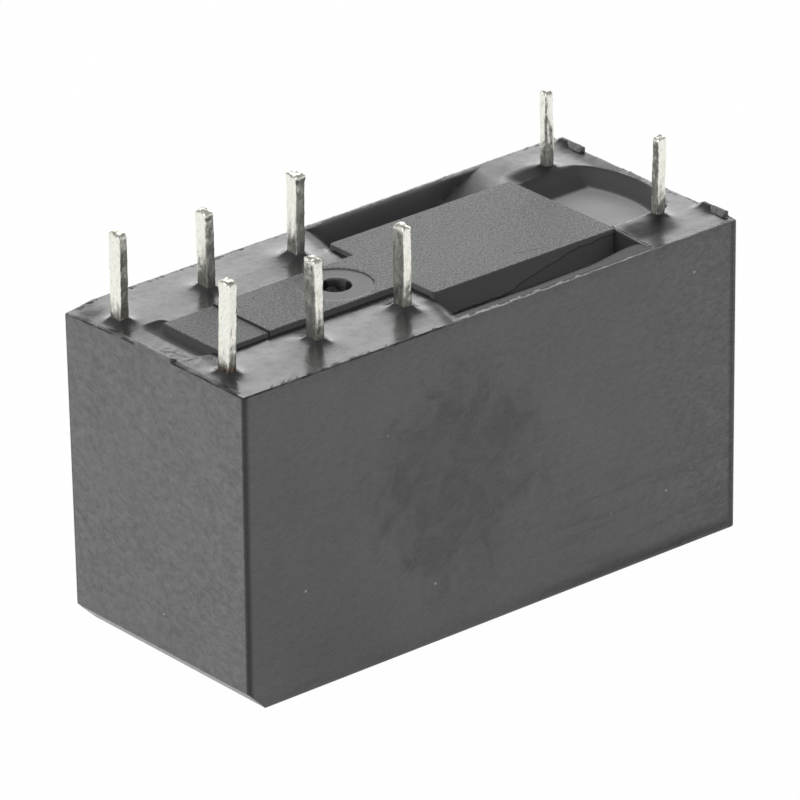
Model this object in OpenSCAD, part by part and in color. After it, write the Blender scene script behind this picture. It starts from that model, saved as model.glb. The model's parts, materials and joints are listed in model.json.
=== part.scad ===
// Two-pole changeover power relay for a printed circuit board.
// It lies on the closed face of its cover, with its solder pins upwards.
// X runs along the relay from the contact end to the coil end, Y across it and Z up.
// The origin is the middle of the closed face. All sizes are in millimetres.

/* [Pin pattern] */
// Spacing of the contact pins along each row
pin_pitch = 5; // [4.8:0.01:5.2]
// Distance from the last contact pins to the coil pins
coil_gap = 15; // [14.5:0.1:17]
// Distance between the two pin rows
row_gap = 7.5; // [7.2:0.05:7.8]
// Width of a contact pin across the relay
pin_w = 0.8; // [0.6:0.05:1]
// Thickness of a contact pin and of its strip
pin_t = 0.5; // [0.4:0.05:0.6]
// Side of a square coil pin
coil_pin_t = 0.5; // [0.4:0.05:0.6]
// Length of the chamfer at the tip of a pin
pin_tip = 0.12; // [0.05:0.01:0.18]
// Free length of the normally open pins above the feet
no_pin_len = 4.07; // [3:0.01:5]
// Free length of the common pins above the feet
com_pin_len = 3.67; // [3:0.01:5]
// Free length of the normally closed pins above the feet
nc_pin_len = 3.86; // [3:0.01:5]
// Free length of the coil pins above the feet
coil_pin_len = 3.68; // [3:0.01:5]

/* [Cover] */
// Outside width of the cover at its rim
cover_w = 12.6; // [12:0.1:14]
// Draft of each long side: how far it leans in from the rim to the closed face
draft = 0.15; // [0.05:0.01:0.2]
// Height of the cover from its closed face to its rim
cover_h = 15.4; // [14.5:0.1:18]
// Distance from the outer contact pins to the contact end face
contact_end = 1.2; // [1.15:0.05:2]
// Distance from the coil pins to the coil end face
coil_end = 2.6; // [2.4:0.05:4]
// Thickness of the side and end walls
wall_t = 0.75; // [0.5:0.05:0.8]
// Thickness of the rim above the base plate, thinner than the walls below it
rim_t = 0.4; // [0.3:0.05:0.5]
// Thickness of the closed face
roof_t = 0.8; // [0.5:0.05:1.2]
// Radius of the four upright corners
corner_r = 0.3; // [0.25:0.01:0.5]
// Bevel along the edges of the closed face
edge_bevel = 0.12; // [0.05:0.01:0.25]
// Chamfer across the closed face at the contact end
end_chamfer = 1; // [0.6:0.05:1.4]
// Height of the stand-off feet above the rim
foot_h = 0.3; // [0.2:0.05:0.5]
// Length of each of the two feet at the coil end
coil_foot_l = 1.55; // [1:0.05:2]
// Distance from a coil end foot to the side of the cover
coil_foot_in = 0.6; // [0.4:0.05:1]
// Length of the foot at the contact end
contact_foot_l = 2.5; // [2:0.1:4]

/* [Base] */
// Thickness of the base plate
plate_t = 1.3; // [1:0.05:1.6]
// Clearance between the base and the cover
base_fit = 0.05; // [0.02:0.01:0.1]
// Height of the textured plateau above the rim
plateau_rise = 0.25; // [0.1:0.05:0.3]
// Width of the plateau between the contact pins
neck_w = 3.94; // [3.4:0.02:4.4]
// Drop of the plateau's end step
step_drop = 0.08; // [0.04:0.01:0.15]
// Corner radius of the wide part of the plateau
plateau_r = 0.2; // [0.15:0.05:0.6]
// Diameter of the vent's counterbore
vent_d = 1.45; // [1.2:0.05:2]
// Depth of the vent's counterbore
vent_depth = 1; // [0.8:0.05:1.2]
// Diameter of the vent's through hole
vent_hole_d = 0.8; // [0.5:0.05:1]
// Diameter of the smooth disc around the vent
vent_disc_d = 3.54; // [2.6:0.02:3.9]
// Depth of the smooth disc around the vent
vent_disc_depth = 0.05; // [0.03:0.01:0.1]
// Thickness of the wall between the coil and the contacts
cross_t = 0.8; // [0.6:0.05:1]
// Thickness of the wall between the two poles
barrier_t = 0.8; // [0.6:0.05:1.2]
// Clearance of each pin in the base
slot_fit = 0.03; // [0.01:0.01:0.05]
// Thickness of the ribs that close the troughs at the coil end
rib_t = 0.25; // [0.2:0.01:0.4]
// Distance from the outer contact pins to the end of the plateau
plateau_gap = 0.95; // [0.5:0.05:2]
// Distance from the plateau's step to the common pins
step_gap = 1.2; // [0.6:0.05:2.5]
// Distance from the last contact pins to the wide part of the plateau
wide_gap = 1.85; // [1.4:0.05:2.4]
// Distance from the wide part of the plateau to the coil pins
wide_end_gap = 2.4; // [1.8:0.05:3]
// Distance from each side of the wide part to its row of pins
wide_side_gap = 0.08; // [0.02:0.02:0.4]
// Distance from the vent to the last contact pins
vent_gap = 0.8; // [0.4:0.05:1.2]
// Distance from the last contact pins to the wall before the coil
cross_gap = 1.7; // [1.3:0.05:2]

/* [Sealing resin] */
// Depth of the resin over the base plate
resin_t = 1.08; // [0.8:0.02:1.3]
// Drop of the resin below the rim
resin_drop = 0.02; // [0.02:0.01:0.2]
// Depth of the troughs beside the wide part of the plateau
trough_depth = 0.83; // [0.4:0.01:0.86]
// Depth of the pool between the coil pins
pool_depth = 0.72; // [0.2:0.02:0.76]
// Radius of the bow at the pool's far end
pool_r = 5.8; // [4:0.1:12]
// Distance from the coil pins to the far end of the pool
pool_reach = 1.6; // [0.4:0.05:1.8]
// Distance from each side of the pool to its row of pins
pool_side_gap = 1.05; // [0.8:0.05:1.6]
// Distance from the start of the troughs to that of the wide plateau
trough_inset = 0.3; // [0.1:0.05:0.6]
// Depth of the resin drop in the vent's counterbore
plug_t = 0.55; // [0.2:0.05:0.65]

/* [Magnet] */
// Thickness of the yoke
yoke_t = 1.2; // [1:0.05:1.5]
// Width of the yoke
yoke_w = 5.8; // [5:0.1:6]
// Thickness of the armature
armature_t = 1.2; // [1:0.05:1.4]
// Width of the armature
armature_w = 5.8; // [5:0.1:6]
// Width of the armature's tongue
tongue_w = 2.6; // [2:0.1:3]
// Diameter of the core
core_d = 3.6; // [3:0.1:4]
// Diameter of the core's riveted tail
core_tail_d = 2.6; // [2:0.1:2.8]
// Diameter of the pole head
pole_d = 6.2; // [5:0.1:6.6]
// Thickness of the pole head
pole_t = 0.7; // [0.5:0.05:1]
// Gap left at the pole when the armature is pulled in
pole_gap = 0.05; // [0.03:0.01:0.08]
// Thickness of the armature's leaf spring
leaf_t = 0.15; // [0.1:0.01:0.18]
// Width of the armature's leaf spring
leaf_w = 3.6; // [2:0.1:4]
// Length of the leaf spring's leg along the armature
leaf_leg = 3; // [2:0.1:4]
// Clearance between the leaf spring's leg and the armature
leaf_gap = 0.06; // [0.04:0.01:0.12]
// Clearance between the leaf spring and the base
leaf_clear = 0.05; // [0.03:0.01:0.1]
// Drop of the armature's heel below the yoke's face
heel_drop = 0.15; // [0.1:0.01:0.25]
// Distance between the wall before the coil and the yoke
yoke_gap = 0.5; // [0.3:0.05:0.7]
// Distance from the tongue's shoulder to the card
shoulder_gap = 0.5; // [0.4:0.05:0.8]

/* [Coil] */
// Thickness of the bobbin's flanges
flange_t = 0.8; // [0.6:0.05:1]
// Wall of the bobbin's tube
tube_t = 0.65; // [0.4:0.05:0.8]
// Margin of the winding inside the flanges
winding_margin = 0.35; // [0.25:0.05:0.8]
// Thickness of the tape around the winding
tape_t = 0.1; // [0.06:0.01:0.15]
// Diameter of the leads from the winding
lead_d = 0.2; // [0.12:0.02:0.25]
// Half width of the bobbin's ears around the coil pins
ear_r = 0.55; // [0.45:0.05:0.6]
// Distance from the bobbin's outer end to the coil pins
ear_reach = 1.95; // [1.75:0.05:2.2]
// Distance from the bobbin's flanges to the cover's sides
flange_side = 0.45; // [0.3:0.05:0.7]
// Distance from the card to the bobbin's flanges
flange_lift = 0.45; // [0.3:0.05:0.8]
// Clearance between the bobbin's flanges and the yoke
flange_clear = 0.1; // [0.05:0.01:0.2]
// Height of the soldered collar of a lead
collar_h = 0.8; // [0.5:0.05:1]
// Distance between a collar and the ear above it
collar_gap = 0.2; // [0.1:0.05:0.4]
// Length of a coil pin below its collar
post_end = 0.1; // [0.05:0.05:0.3]
// Length of a lead inside the outer flange
lead_reach = 0.6; // [0.3:0.05:1]

/* [Contacts] */
// Free gap of the open contacts
contact_gap = 0.5; // [0.3:0.02:0.6]
// Diameter of the contacts
contact_d = 2.4; // [2:0.1:2.8]
// Thickness of each contact head
head_t = 0.6; // [0.5:0.05:0.7]
// Radius of the dome on the moving contacts
dome_r = 4; // [3:0.1:6]
// Clearance between contacts that close
touch_gap = 0.02; // [0.01:0.005:0.03]
// Thickness of the moving contact springs
spring_t = 0.2; // [0.12:0.01:0.25]
// Width of a spring's tip in the card
tip_w = 1.6; // [1.2:0.1:2]
// Height of the contacts above the card
contact_rise = 2.05; // [1.8:0.05:2.6]
// Thickness of the card
card_t = 1; // [0.8:0.05:1.2]
// Width of the card over the coil
card_w = 4.4; // [4:0.1:5]
// Clearance around the moving pieces
run_gap = 0.15; // [0.1:0.01:0.18]
// Distance between the wall between the poles and the blades
barrier_gap = 0.9; // [0.6:0.05:1.2]
// Width of a blade outside its pin
blade_margin = 0.55; // [0.3:0.05:0.6]
// Length of a blade below its contact
blade_end = 0.3; // [0.2:0.05:0.3]
// Clearance between a contact spring and the tab that carries it
weld_gap = 0.04; // [0.03:0.01:0.08]
// Distance between the base plate and the root of a contact spring
spring_drop = 0.4; // [0.3:0.05:0.6]
// Overlap of a contact spring and its tab
tab_l = 2; // [1.5:0.1:2.5]
// Half length of the card's cross head
card_head = 1.4; // [1:0.1:1.8]

/* [Hidden] */
$fn = 64;

// An overlap that makes cuts pass clean through
eps = 0.1;
// A gap between pieces that are held together
snug = 0.02;

// Lengths along X
cover_l = contact_end + 2 * pin_pitch + coil_gap + coil_end;
cavity_l = cover_l - 2 * wall_t;
rim_l = cover_l - 2 * rim_t;
no_x = contact_end - cover_l / 2;
com_x = no_x + pin_pitch;
nc_x = com_x + pin_pitch;
coil_x = nc_x + coil_gap;

// Widths along Y
face_w = cover_w - 2 * draft;
cavity_w = face_w - 2 * wall_t;
rim_w = cover_w - 2 * rim_t;
row_y = row_gap / 2;
blade_in = barrier_t / 2 + barrier_gap;
blade_out = row_y + pin_w / 2 + blade_margin;
blade_w = blade_out - blade_in;
pole_y = (blade_in + blade_out) / 2;

// Levels along Z
resin_z = cover_h - resin_drop;
plate_z1 = resin_z - resin_t;
plate_z0 = plate_z1 - plate_t;
plateau_z = cover_h + plateau_rise;
foot_z = cover_h + foot_h;
card_z0 = roof_t + run_gap;
card_z1 = card_z0 + card_t;
card_z = (card_z0 + card_z1) / 2;
yoke_z1 = plate_z0 - leaf_t - leaf_clear;
yoke_z0 = yoke_z1 - yoke_t;
flange_z0 = card_z1 + flange_lift;
flange_z1 = yoke_z0 - flange_clear;
coil_z = (flange_z0 + flange_z1) / 2;
contact_z = card_z1 + contact_rise;
blade_z0 = contact_z - contact_d / 2 - blade_end;

// Outline of the base's plateau
neck_x0 = no_x + plateau_gap;
step_x = com_x - step_gap;
wide_x0 = nc_x + wide_gap;
wide_x1 = coil_x - wide_end_gap;
wide_w = row_gap - 2 * wide_side_gap;
rib_z = cover_h;
trough_x0 = wide_x0 + trough_inset;
trough_x1 = wide_x1 - rib_t;
pool_x1 = coil_x + pool_reach;
pool_w = row_gap - 2 * pool_side_gap;
vent_x = nc_x - vent_gap;

// Magnet and coil along X
cross_x = nc_x + cross_gap;
yoke_x0 = cross_x + cross_t / 2 + yoke_gap;
yoke_x1 = yoke_x0 + yoke_t;
bobbin_x0 = yoke_x1 + snug;
bobbin_x1 = coil_x - ear_reach;
pole_x0 = bobbin_x1 + snug;
pole_x = pole_x0 + pole_t;
armature_x = pole_x + pole_gap;
hinge_z = yoke_z1 - heel_drop;

// Winding
flange_w = cavity_w - 2 * flange_side;
tube_d = core_d + 2 * (snug + tube_t);
winding_d = flange_z1 - flange_z0 - 2 * winding_margin;
tape_d = winding_d + 2 * (snug + tape_t);
lead_r = tape_d / 2 + lead_d;
lead_z = coil_z + sqrt(max(1, lead_r * lead_r - row_y * row_y));
collar_r = ear_r;
ear_z0 = lead_z + collar_h / 2 + collar_gap;
post_z0 = lead_z - collar_h / 2 - post_end;

// Contact set along X
spring_x = com_x - pin_t / 2 - weld_gap - spring_t / 2;
spring_z1 = plate_z0 - spring_drop;
closed_reach = spring_t / 2 + head_t + touch_gap + head_t + pin_t / 2;
nc_blade_x = spring_x + closed_reach;
no_blade_x = spring_x - closed_reach - contact_gap;
com_tab_z0 = spring_z1 - tab_l;
spring_lever = spring_z1 - contact_z;
spring_angle = contact_gap / spring_lever * 180 / PI;

// Stroke of the card, and the angle by which the armature stands open
card_stroke = contact_gap * (spring_z1 - card_z) / spring_lever;
hinge_lever = hinge_z - card_z;
open_angle = card_stroke / hinge_lever * 180 / PI;
tongue_x = armature_x + armature_t / 2 + card_stroke;
fork_x = tongue_x - armature_t / 2 - run_gap;
card_x1 = tongue_x + armature_t / 2;
head_x0 = spring_x - card_head;
head_x1 = spring_x + card_head;
shoulder_z = card_z1 + shoulder_gap;

// Colours
cover_black = "#4a4a4c";
base_grey = "#6b6b6e";
resin_black = "#2c2c2e";
tin = "#d8d8d0";
copper = "#b5673a";
iron = "#9a9a9e";
silver = "#e4e4e6";
bronze = "#b88a4e";
bobbin_white = "#e8e2d4";
card_white = "#f0ead8";
tape_yellow = "#c9a94a";

// Rectangle with round corners, centred
module round_rect(l, w, r) {
    square([l, w - 2 * r], center = true);
    square([l - 2 * r, w], center = true);
    for (x = [-1, 1], y = [-1, 1])
        translate([x * (l / 2 - r), y * (w / 2 - r)])
            circle(r = r);
}

// Box from two opposite corners
module box(a, b) {
    translate(a)
        cube(b - a);
}

// Pieces that repeat on each side: 1 at +Y and -1 at -Y
module at_side(side) {
    if (side > 0)
        children();
    else
        mirror([0, 1, 0])
            children();
}

// Outline of a pin's tip: full width up to the chamfer, seen from one side
module pin_outline(w, z0, z1) {
    polygon([
        [-w / 2, z0], [w / 2, z0], [w / 2, z1 - pin_tip],
        [w / 2 - pin_tip, z1], [pin_tip - w / 2, z1], [-w / 2, z1 - pin_tip]
    ]);
}

// Upright pin of a rectangular section, chamfered all round at its tip
module pin(x, thick, wide, z0, z1) {
    translate([x, row_y, 0])
        intersection() {
            rotate([90, 0, 0])
                linear_extrude(wide, center = true)
                    pin_outline(thick, z0, z1);
            rotate([90, 0, 90])
                linear_extrude(thick, center = true)
                    pin_outline(wide, z0, z1);
        }
}

// Cross section of the cover's block, wider at the rim, with bevels along the closed face
module cover_section() {
    polygon([
        [edge_bevel - face_w / 2, 0], [face_w / 2 - edge_bevel, 0], [face_w / 2, edge_bevel],
        [cover_w / 2, cover_h], [-cover_w / 2, cover_h], [-face_w / 2, edge_bevel]
    ]);
}

// Side view of the cover's block, with a bevel at the coil end and the chamfer at the contact end
module cover_profile() {
    polygon([
        [end_chamfer - cover_l / 2, 0], [cover_l / 2 - edge_bevel, 0], [cover_l / 2, edge_bevel],
        [cover_l / 2, cover_h], [-cover_l / 2, cover_h], [-cover_l / 2, end_chamfer]
    ]);
}

// Block of the cover before it is hollowed: what its plan, cross section and side view share
module cover_block() {
    intersection() {
        linear_extrude(cover_h)
            round_rect(cover_l, cover_w + draft, corner_r);
        rotate([90, 0, 90])
            linear_extrude(cover_l + 2 * eps, center = true)
                cover_section();
        rotate([90, 0, 0])
            linear_extrude(cover_w + 2 * eps, center = true)
                cover_profile();
    }
}

// Wedge across the contact end that leaves a chamfer of the given size
module contact_end_wedge(size) {
    translate([-cover_l / 2, 0, 0])
        rotate([90, 0, 0])
            linear_extrude(cover_w + 2 * eps, center = true)
                polygon([[-eps, -eps], [size + eps, -eps], [-eps, size + eps]]);
}

// Hollow of the cover, with the same wall behind the chamfer and a thinner rim
module cover_hollow() {
    difference() {
        translate([0, 0, roof_t])
            linear_extrude(cover_h)
                square([cavity_l, cavity_w], center = true);
        contact_end_wedge(end_chamfer + wall_t * sqrt(2));
    }
    translate([0, 0, plate_z1])
        linear_extrude(cover_h)
            square([rim_l, rim_w], center = true);
}

// Stand-off foot on an end wall's rim, from its middle and length
module foot(end, y, length) {
    x = end * (cover_l / 2 - rim_t / 2);
    translate([x, y, cover_h])
        cube([rim_t, length, 2 * foot_h], center = true);
}

module cover() {
    color(cover_black) {
        difference() {
            cover_block();
            cover_hollow();
        }
        foot(-1, 0, contact_foot_l);
        for (side = [-1, 1])
            foot(1, side * (cover_w / 2 - coil_foot_in - coil_foot_l / 2), coil_foot_l);
    }
}

// Narrow part of the plateau, between the contact pins
module neck_outline(x0, x1) {
    translate([x0, -neck_w / 2])
        square([x1 - x0, neck_w]);
}

// Wide part of the plateau, over the coil
module wide_outline() {
    translate([(wide_x0 + wide_x1) / 2, 0])
        round_rect(wide_x1 - wide_x0, wide_w, plateau_r);
}

// Low pool between the coil pins, with a bowed end
module pool_outline() {
    intersection() {
        translate([wide_x1 - eps, -pool_w / 2])
            square([pool_x1 - wide_x1 + eps, pool_w]);
        translate([pool_x1 - pool_r, 0])
            circle(r = pool_r);
    }
}

// Rib from the plateau to each side wall, at the coil end of the troughs
module trough_ribs() {
    box([trough_x1, base_fit - cavity_w / 2, plate_z0], [wide_x1, cavity_w / 2 - base_fit, rib_z]);
}

// Raised face of the base, which stands out of the resin
module plateau() {
    rise = plateau_z - plate_z0;
    translate([0, 0, plate_z0]) {
        linear_extrude(rise - step_drop)
            neck_outline(neck_x0, step_x + eps);
        linear_extrude(rise)
            neck_outline(step_x, wide_x0 + plateau_r);
        linear_extrude(rise)
            wide_outline();
    }
    trough_ribs();
}

// Wall between the coil and the contacts, with a window for the card
module cross_wall() {
    difference() {
        box([cross_x - cross_t / 2, base_fit - cavity_w / 2, roof_t + run_gap],
            [cross_x + cross_t / 2, cavity_w / 2 - base_fit, plate_z0 + eps]);
        box([cross_x - cross_t, -card_w / 2 - run_gap, 0],
            [cross_x + cross_t, card_w / 2 + run_gap, card_z1 + run_gap]);
    }
}

// Wall between the two poles, open below the vent
module pole_barrier() {
    difference() {
        box([run_gap - cavity_l / 2 + end_chamfer, -barrier_t / 2, card_z1 + run_gap],
            [cross_x, barrier_t / 2, plate_z0 + eps]);
        box([vent_x - vent_d / 2, -barrier_t, plate_z0 - vent_d],
            [vent_x + vent_d / 2, barrier_t, plate_z0]);
    }
}

// Stepped hole of the vent, with its shallow smooth disc
module vent_cut() {
    translate([vent_x, 0, plate_z0 - eps])
        cylinder(d = vent_hole_d, h = plateau_z - plate_z0);
    translate([vent_x, 0, plateau_z - vent_depth])
        cylinder(d = vent_d, h = vent_depth + eps);
    translate([vent_x, 0, plateau_z - vent_disc_depth])
        cylinder(d = vent_disc_d, h = vent_disc_depth + eps);
}

// Holes through the base plate for all the pins
module pin_slots() {
    for (side = [-1, 1]) {
        for (x = [no_x, com_x, nc_x])
            translate([x, side * row_y, plate_z0 + plate_t / 2])
                cube([pin_t + 2 * slot_fit, pin_w + 2 * slot_fit, plate_t + 2 * eps], center = true);
        translate([coil_x, side * row_y, plate_z0 + plate_t / 2])
            cube([coil_pin_t + 2 * slot_fit, coil_pin_t + 2 * slot_fit, plate_t + 2 * eps], center = true);
    }
}

module base() {
    color(base_grey)
        difference() {
            union() {
                translate([0, 0, plate_z0])
                    linear_extrude(plate_t)
                        square([cavity_l - 2 * base_fit, cavity_w - 2 * base_fit], center = true);
                plateau();
                cross_wall();
                pole_barrier();
            }
            pin_slots();
            vent_cut();
        }
}

// Cuts in the resin where the pins come through
module resin_pin_cuts() {
    depth = resin_t + 2 * eps;
    for (side = [-1, 1]) {
        for (x = [no_x, com_x, nc_x])
            translate([x, side * row_y, plate_z1 + resin_t / 2])
                cube([pin_t, pin_w, depth], center = true);
        translate([coil_x, side * row_y, plate_z1 + resin_t / 2])
            cube([coil_pin_t, coil_pin_t, depth], center = true);
    }
}

// Troughs in the resin along both sides of the wide plateau
module resin_troughs() {
    for (side = [-1, 1])
        translate([(trough_x0 + trough_x1) / 2, side * cavity_w / 2, resin_z])
            cube([trough_x1 - trough_x0, cavity_w - wide_w + 2 * plateau_r, 2 * trough_depth], center = true);
}

module sealing_resin() {
    color(resin_black)
        difference() {
            translate([0, 0, plate_z1])
                linear_extrude(resin_t)
                    square([rim_l, rim_w], center = true);
            translate([0, 0, plate_z1 - eps])
                linear_extrude(resin_t + 2 * eps) {
                    neck_outline(neck_x0, wide_x0 + plateau_r);
                    wide_outline();
                }
            translate([0, 0, resin_z - pool_depth])
                linear_extrude(resin_t)
                    pool_outline();
            box([trough_x1, base_fit - cavity_w / 2, plate_z1 - eps],
                [wide_x1, cavity_w / 2 - base_fit, cover_h + eps]);
            resin_troughs();
            resin_pin_cuts();
        }
}

// Drop of resin that closes the vent
module vent_plug() {
    color(resin_black)
        translate([vent_x, 0, 0]) {
            translate([0, 0, plate_z0])
                cylinder(d = vent_hole_d - 2 * snug, h = plateau_z - vent_depth - plate_z0 + snug);
            translate([0, 0, plateau_z - vent_depth + snug])
                cylinder(d = vent_d - 2 * snug, h = plug_t);
        }
}

// One flange of the bobbin, with a channel for the yoke, standing on the base
module bobbin_flange(x0) {
    difference() {
        box([x0, -flange_w / 2, flange_z0], [x0 + flange_t, flange_w / 2, plate_z0]);
        box([x0 - eps, -yoke_w / 2 - run_gap, flange_z1],
            [x0 + flange_t + eps, yoke_w / 2 + run_gap, plate_z0 + eps]);
    }
}

// Ear on the outer flange that holds a coil pin
module bobbin_ear() {
    box([bobbin_x1 - flange_t, row_y - ear_r, ear_z0], [coil_x + ear_r, row_y + ear_r, plate_z0]);
}

module bobbin() {
    color(bobbin_white)
        difference() {
            union() {
                bobbin_flange(bobbin_x0);
                bobbin_flange(bobbin_x1 - flange_t);
                translate([bobbin_x0, 0, coil_z])
                    rotate([0, 90, 0])
                        cylinder(d = tube_d, h = bobbin_x1 - bobbin_x0);
                for (side = [-1, 1])
                    at_side(side)
                        bobbin_ear();
            }
            translate([bobbin_x0 - eps, 0, coil_z])
                rotate([0, 90, 0])
                    cylinder(d = core_d + 2 * snug, h = bobbin_x1 - bobbin_x0 + 2 * eps);
            for (side = [-1, 1]) {
                translate([coil_x, side * row_y, ear_z0])
                    cube([coil_pin_t + snug, coil_pin_t + snug, 4 * (plate_z0 - ear_z0)], center = true);
                translate([bobbin_x1 - flange_t - eps, side * row_y, lead_z])
                    rotate([0, 90, 0])
                        cylinder(d = 2 * lead_d, h = flange_t + 2 * eps);
            }
        }
}

// Sleeve around the coil's axis between the flanges
module coil_sleeve(inner_d, outer_d) {
    x0 = bobbin_x0 + flange_t + snug;
    length = bobbin_x1 - flange_t - snug - x0;
    translate([x0, 0, coil_z])
        rotate([0, 90, 0])
            difference() {
                cylinder(d = outer_d, h = length);
                translate([0, 0, -eps])
                    cylinder(d = inner_d, h = length + 2 * eps);
            }
}

module winding() {
    color(copper)
        coil_sleeve(tube_d + 2 * snug, winding_d);
}

module winding_tape() {
    color(tape_yellow)
        coil_sleeve(winding_d + 2 * snug, tape_d);
}

module core() {
    color(iron)
        translate([0, 0, coil_z])
            rotate([0, 90, 0]) {
                translate([0, 0, yoke_x0])
                    cylinder(d = core_tail_d, h = yoke_t + eps);
                translate([0, 0, yoke_x1 + snug])
                    cylinder(d = core_d, h = pole_x - yoke_x1 - snug);
                translate([0, 0, pole_x0])
                    cylinder(d = pole_d, h = pole_t);
            }
}

// Side view of the yoke: a short leg at the core's tail and a long leg along the base
module yoke_outline() {
    leg_z0 = coil_z - pole_d / 2;
    difference() {
        union() {
            translate([yoke_x0, leg_z0])
                square([yoke_t, yoke_z1 - leg_z0]);
            translate([yoke_x0, yoke_z0])
                square([pole_x - yoke_x0, yoke_t]);
        }
        difference() {
            translate([yoke_x0 - eps, yoke_z1 - yoke_t])
                square([yoke_t + eps, yoke_t + eps]);
            translate([yoke_x0 + yoke_t, yoke_z1 - yoke_t])
                circle(r = yoke_t);
        }
    }
}

module yoke() {
    color(iron)
        difference() {
            rotate([90, 0, 0])
                linear_extrude(yoke_w, center = true)
                    yoke_outline();
            translate([yoke_x0 - eps, 0, coil_z])
                rotate([0, 90, 0])
                    cylinder(d = core_tail_d + 2 * snug, h = yoke_t + 2 * eps);
        }
}

// Swings a piece from the pulled-in armature's place to the open one
module swing_open() {
    translate([armature_x, 0, hinge_z])
        rotate([0, -open_angle, 0])
            translate([-armature_x, 0, -hinge_z])
                children();
}

module armature() {
    color(iron)
        swing_open() {
            box([armature_x, -armature_w / 2, shoulder_z],
                [armature_x + armature_t, armature_w / 2, hinge_z]);
            box([armature_x, -tongue_w / 2, card_z0 + run_gap],
                [armature_x + armature_t, tongue_w / 2, shoulder_z + eps]);
        }
}

// Leaf on the yoke that holds the armature's heel against it
module armature_spring() {
    leg_x = armature_x + armature_t + leaf_gap;
    color(bronze) {
        box([(yoke_x1 + pole_x) / 2, -leaf_w / 2, yoke_z1], [leg_x + leaf_t, leaf_w / 2, yoke_z1 + leaf_t]);
        swing_open()
            box([leg_x, -leaf_w / 2, hinge_z - leaf_leg], [leg_x + leaf_t, leaf_w / 2, yoke_z1]);
    }
}

// Plan of the card: a cross head over the springs, a beam over the coil and a fork on the armature
module card_outline() {
    difference() {
        union() {
            translate([head_x0, -blade_out])
                square([head_x1 - head_x0, 2 * blade_out]);
            translate([head_x0, -card_w / 2])
                square([card_x1 - head_x0, card_w]);
        }
        for (side = [-1, 1])
            translate([spring_x, side * pole_y])
                square([spring_t + 2 * run_gap, tip_w + 2 * run_gap], center = true);
        translate([fork_x, -tongue_w / 2 - run_gap])
            square([card_x1, tongue_w + 2 * run_gap]);
    }
}

module actuator_card() {
    color(card_white)
        translate([0, 0, card_z0])
            linear_extrude(card_t)
                card_outline();
}

module coil_terminal() {
    color(tin)
        pin(coil_x, coil_pin_t, coil_pin_t, post_z0, foot_z + coil_pin_len);
}

// End of the winding's wire, wrapped and soldered round the coil pin's foot
module coil_lead() {
    x0 = bobbin_x1 - flange_t - lead_reach;
    color(copper)
        difference() {
            union() {
                translate([coil_x, row_y, lead_z - collar_h / 2])
                    cylinder(r = collar_r, h = collar_h);
                translate([x0, row_y, lead_z])
                    rotate([0, 90, 0])
                        cylinder(d = lead_d, h = coil_x - x0);
            }
            translate([coil_x, row_y, lead_z])
                cube([coil_pin_t, coil_pin_t, 2 * collar_h], center = true);
        }
}

// Side view of a bent strip: a foot under the base from the pin to the blade, then the blade
module strip_outline(pin_x, blade_x) {
    bend_r = 2 * pin_t;
    turn = pin_x < blade_x ? 1 : -1;
    translate([blade_x, plate_z0])
        scale([turn, 1])
            difference() {
                union() {
                    translate([pin_t / 2 - abs(blade_x - pin_x) - pin_t, -pin_t])
                        square([abs(blade_x - pin_x) + pin_t, pin_t]);
                    translate([-pin_t / 2, blade_z0 - plate_z0])
                        square([pin_t, plate_z0 - blade_z0]);
                }
                difference() {
                    translate([pin_t / 2 - bend_r, -bend_r])
                        square(bend_r + eps);
                    translate([pin_t / 2 - bend_r, -bend_r])
                        circle(r = bend_r);
                }
            }
}

// Fixed contact's strip with its pin
module fixed_terminal(pin_x, blade_x, length) {
    color(tin) {
        translate([0, blade_out, 0])
            rotate([90, 0, 0])
                linear_extrude(blade_w)
                    strip_outline(pin_x, blade_x);
        pin(pin_x, pin_t, pin_w, plate_z0 - pin_t / 2, foot_z + length);
    }
}

// Common terminal: a straight tab for the spring, and its pin
module com_terminal() {
    color(tin) {
        box([com_x - pin_t / 2, blade_in, com_tab_z0], [com_x + pin_t / 2, blade_out, plate_z0]);
        pin(com_x, pin_t, pin_w, plate_z0 - eps, foot_z + com_pin_len);
    }
}

// Contact head along X, flat or domed, standing on its face at x
module contact_head(x, direction, domed) {
    translate([x, pole_y, contact_z])
        rotate([0, 90 * direction, 0])
            intersection() {
                cylinder(d = contact_d, h = head_t);
                if (domed)
                    translate([0, 0, head_t - dome_r])
                        sphere(r = dome_r);
                else
                    cylinder(d = contact_d + eps, h = head_t);
            }
}

module nc_contact() {
    color(silver)
        contact_head(nc_blade_x - pin_t / 2, -1, false);
}

module no_contact() {
    color(silver)
        contact_head(no_blade_x + pin_t / 2, 1, false);
}

// Leaf that carries the moving contact, from the common tab down into the card
module contact_spring() {
    color(bronze)
        difference() {
            union() {
                box([spring_x - spring_t / 2, blade_in, shoulder_z],
                    [spring_x + spring_t / 2, blade_out, spring_z1]);
                box([spring_x - spring_t / 2, pole_y - tip_w / 2, card_z0 + run_gap],
                    [spring_x + spring_t / 2, pole_y + tip_w / 2, shoulder_z + eps]);
            }
            translate([spring_x - spring_t, pole_y, contact_z])
                rotate([0, 90, 0])
                    cylinder(d = contact_d / 2 + 2 * snug, h = 2 * spring_t);
        }
}

module moving_contact() {
    color(silver) {
        contact_head(spring_x + spring_t / 2, 1, true);
        contact_head(spring_x - spring_t / 2, -1, true);
        translate([spring_x - spring_t / 2 - eps, pole_y, contact_z])
            rotate([0, 90, 0])
                cylinder(d = contact_d / 2, h = spring_t + 2 * eps);
    }
}

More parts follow.
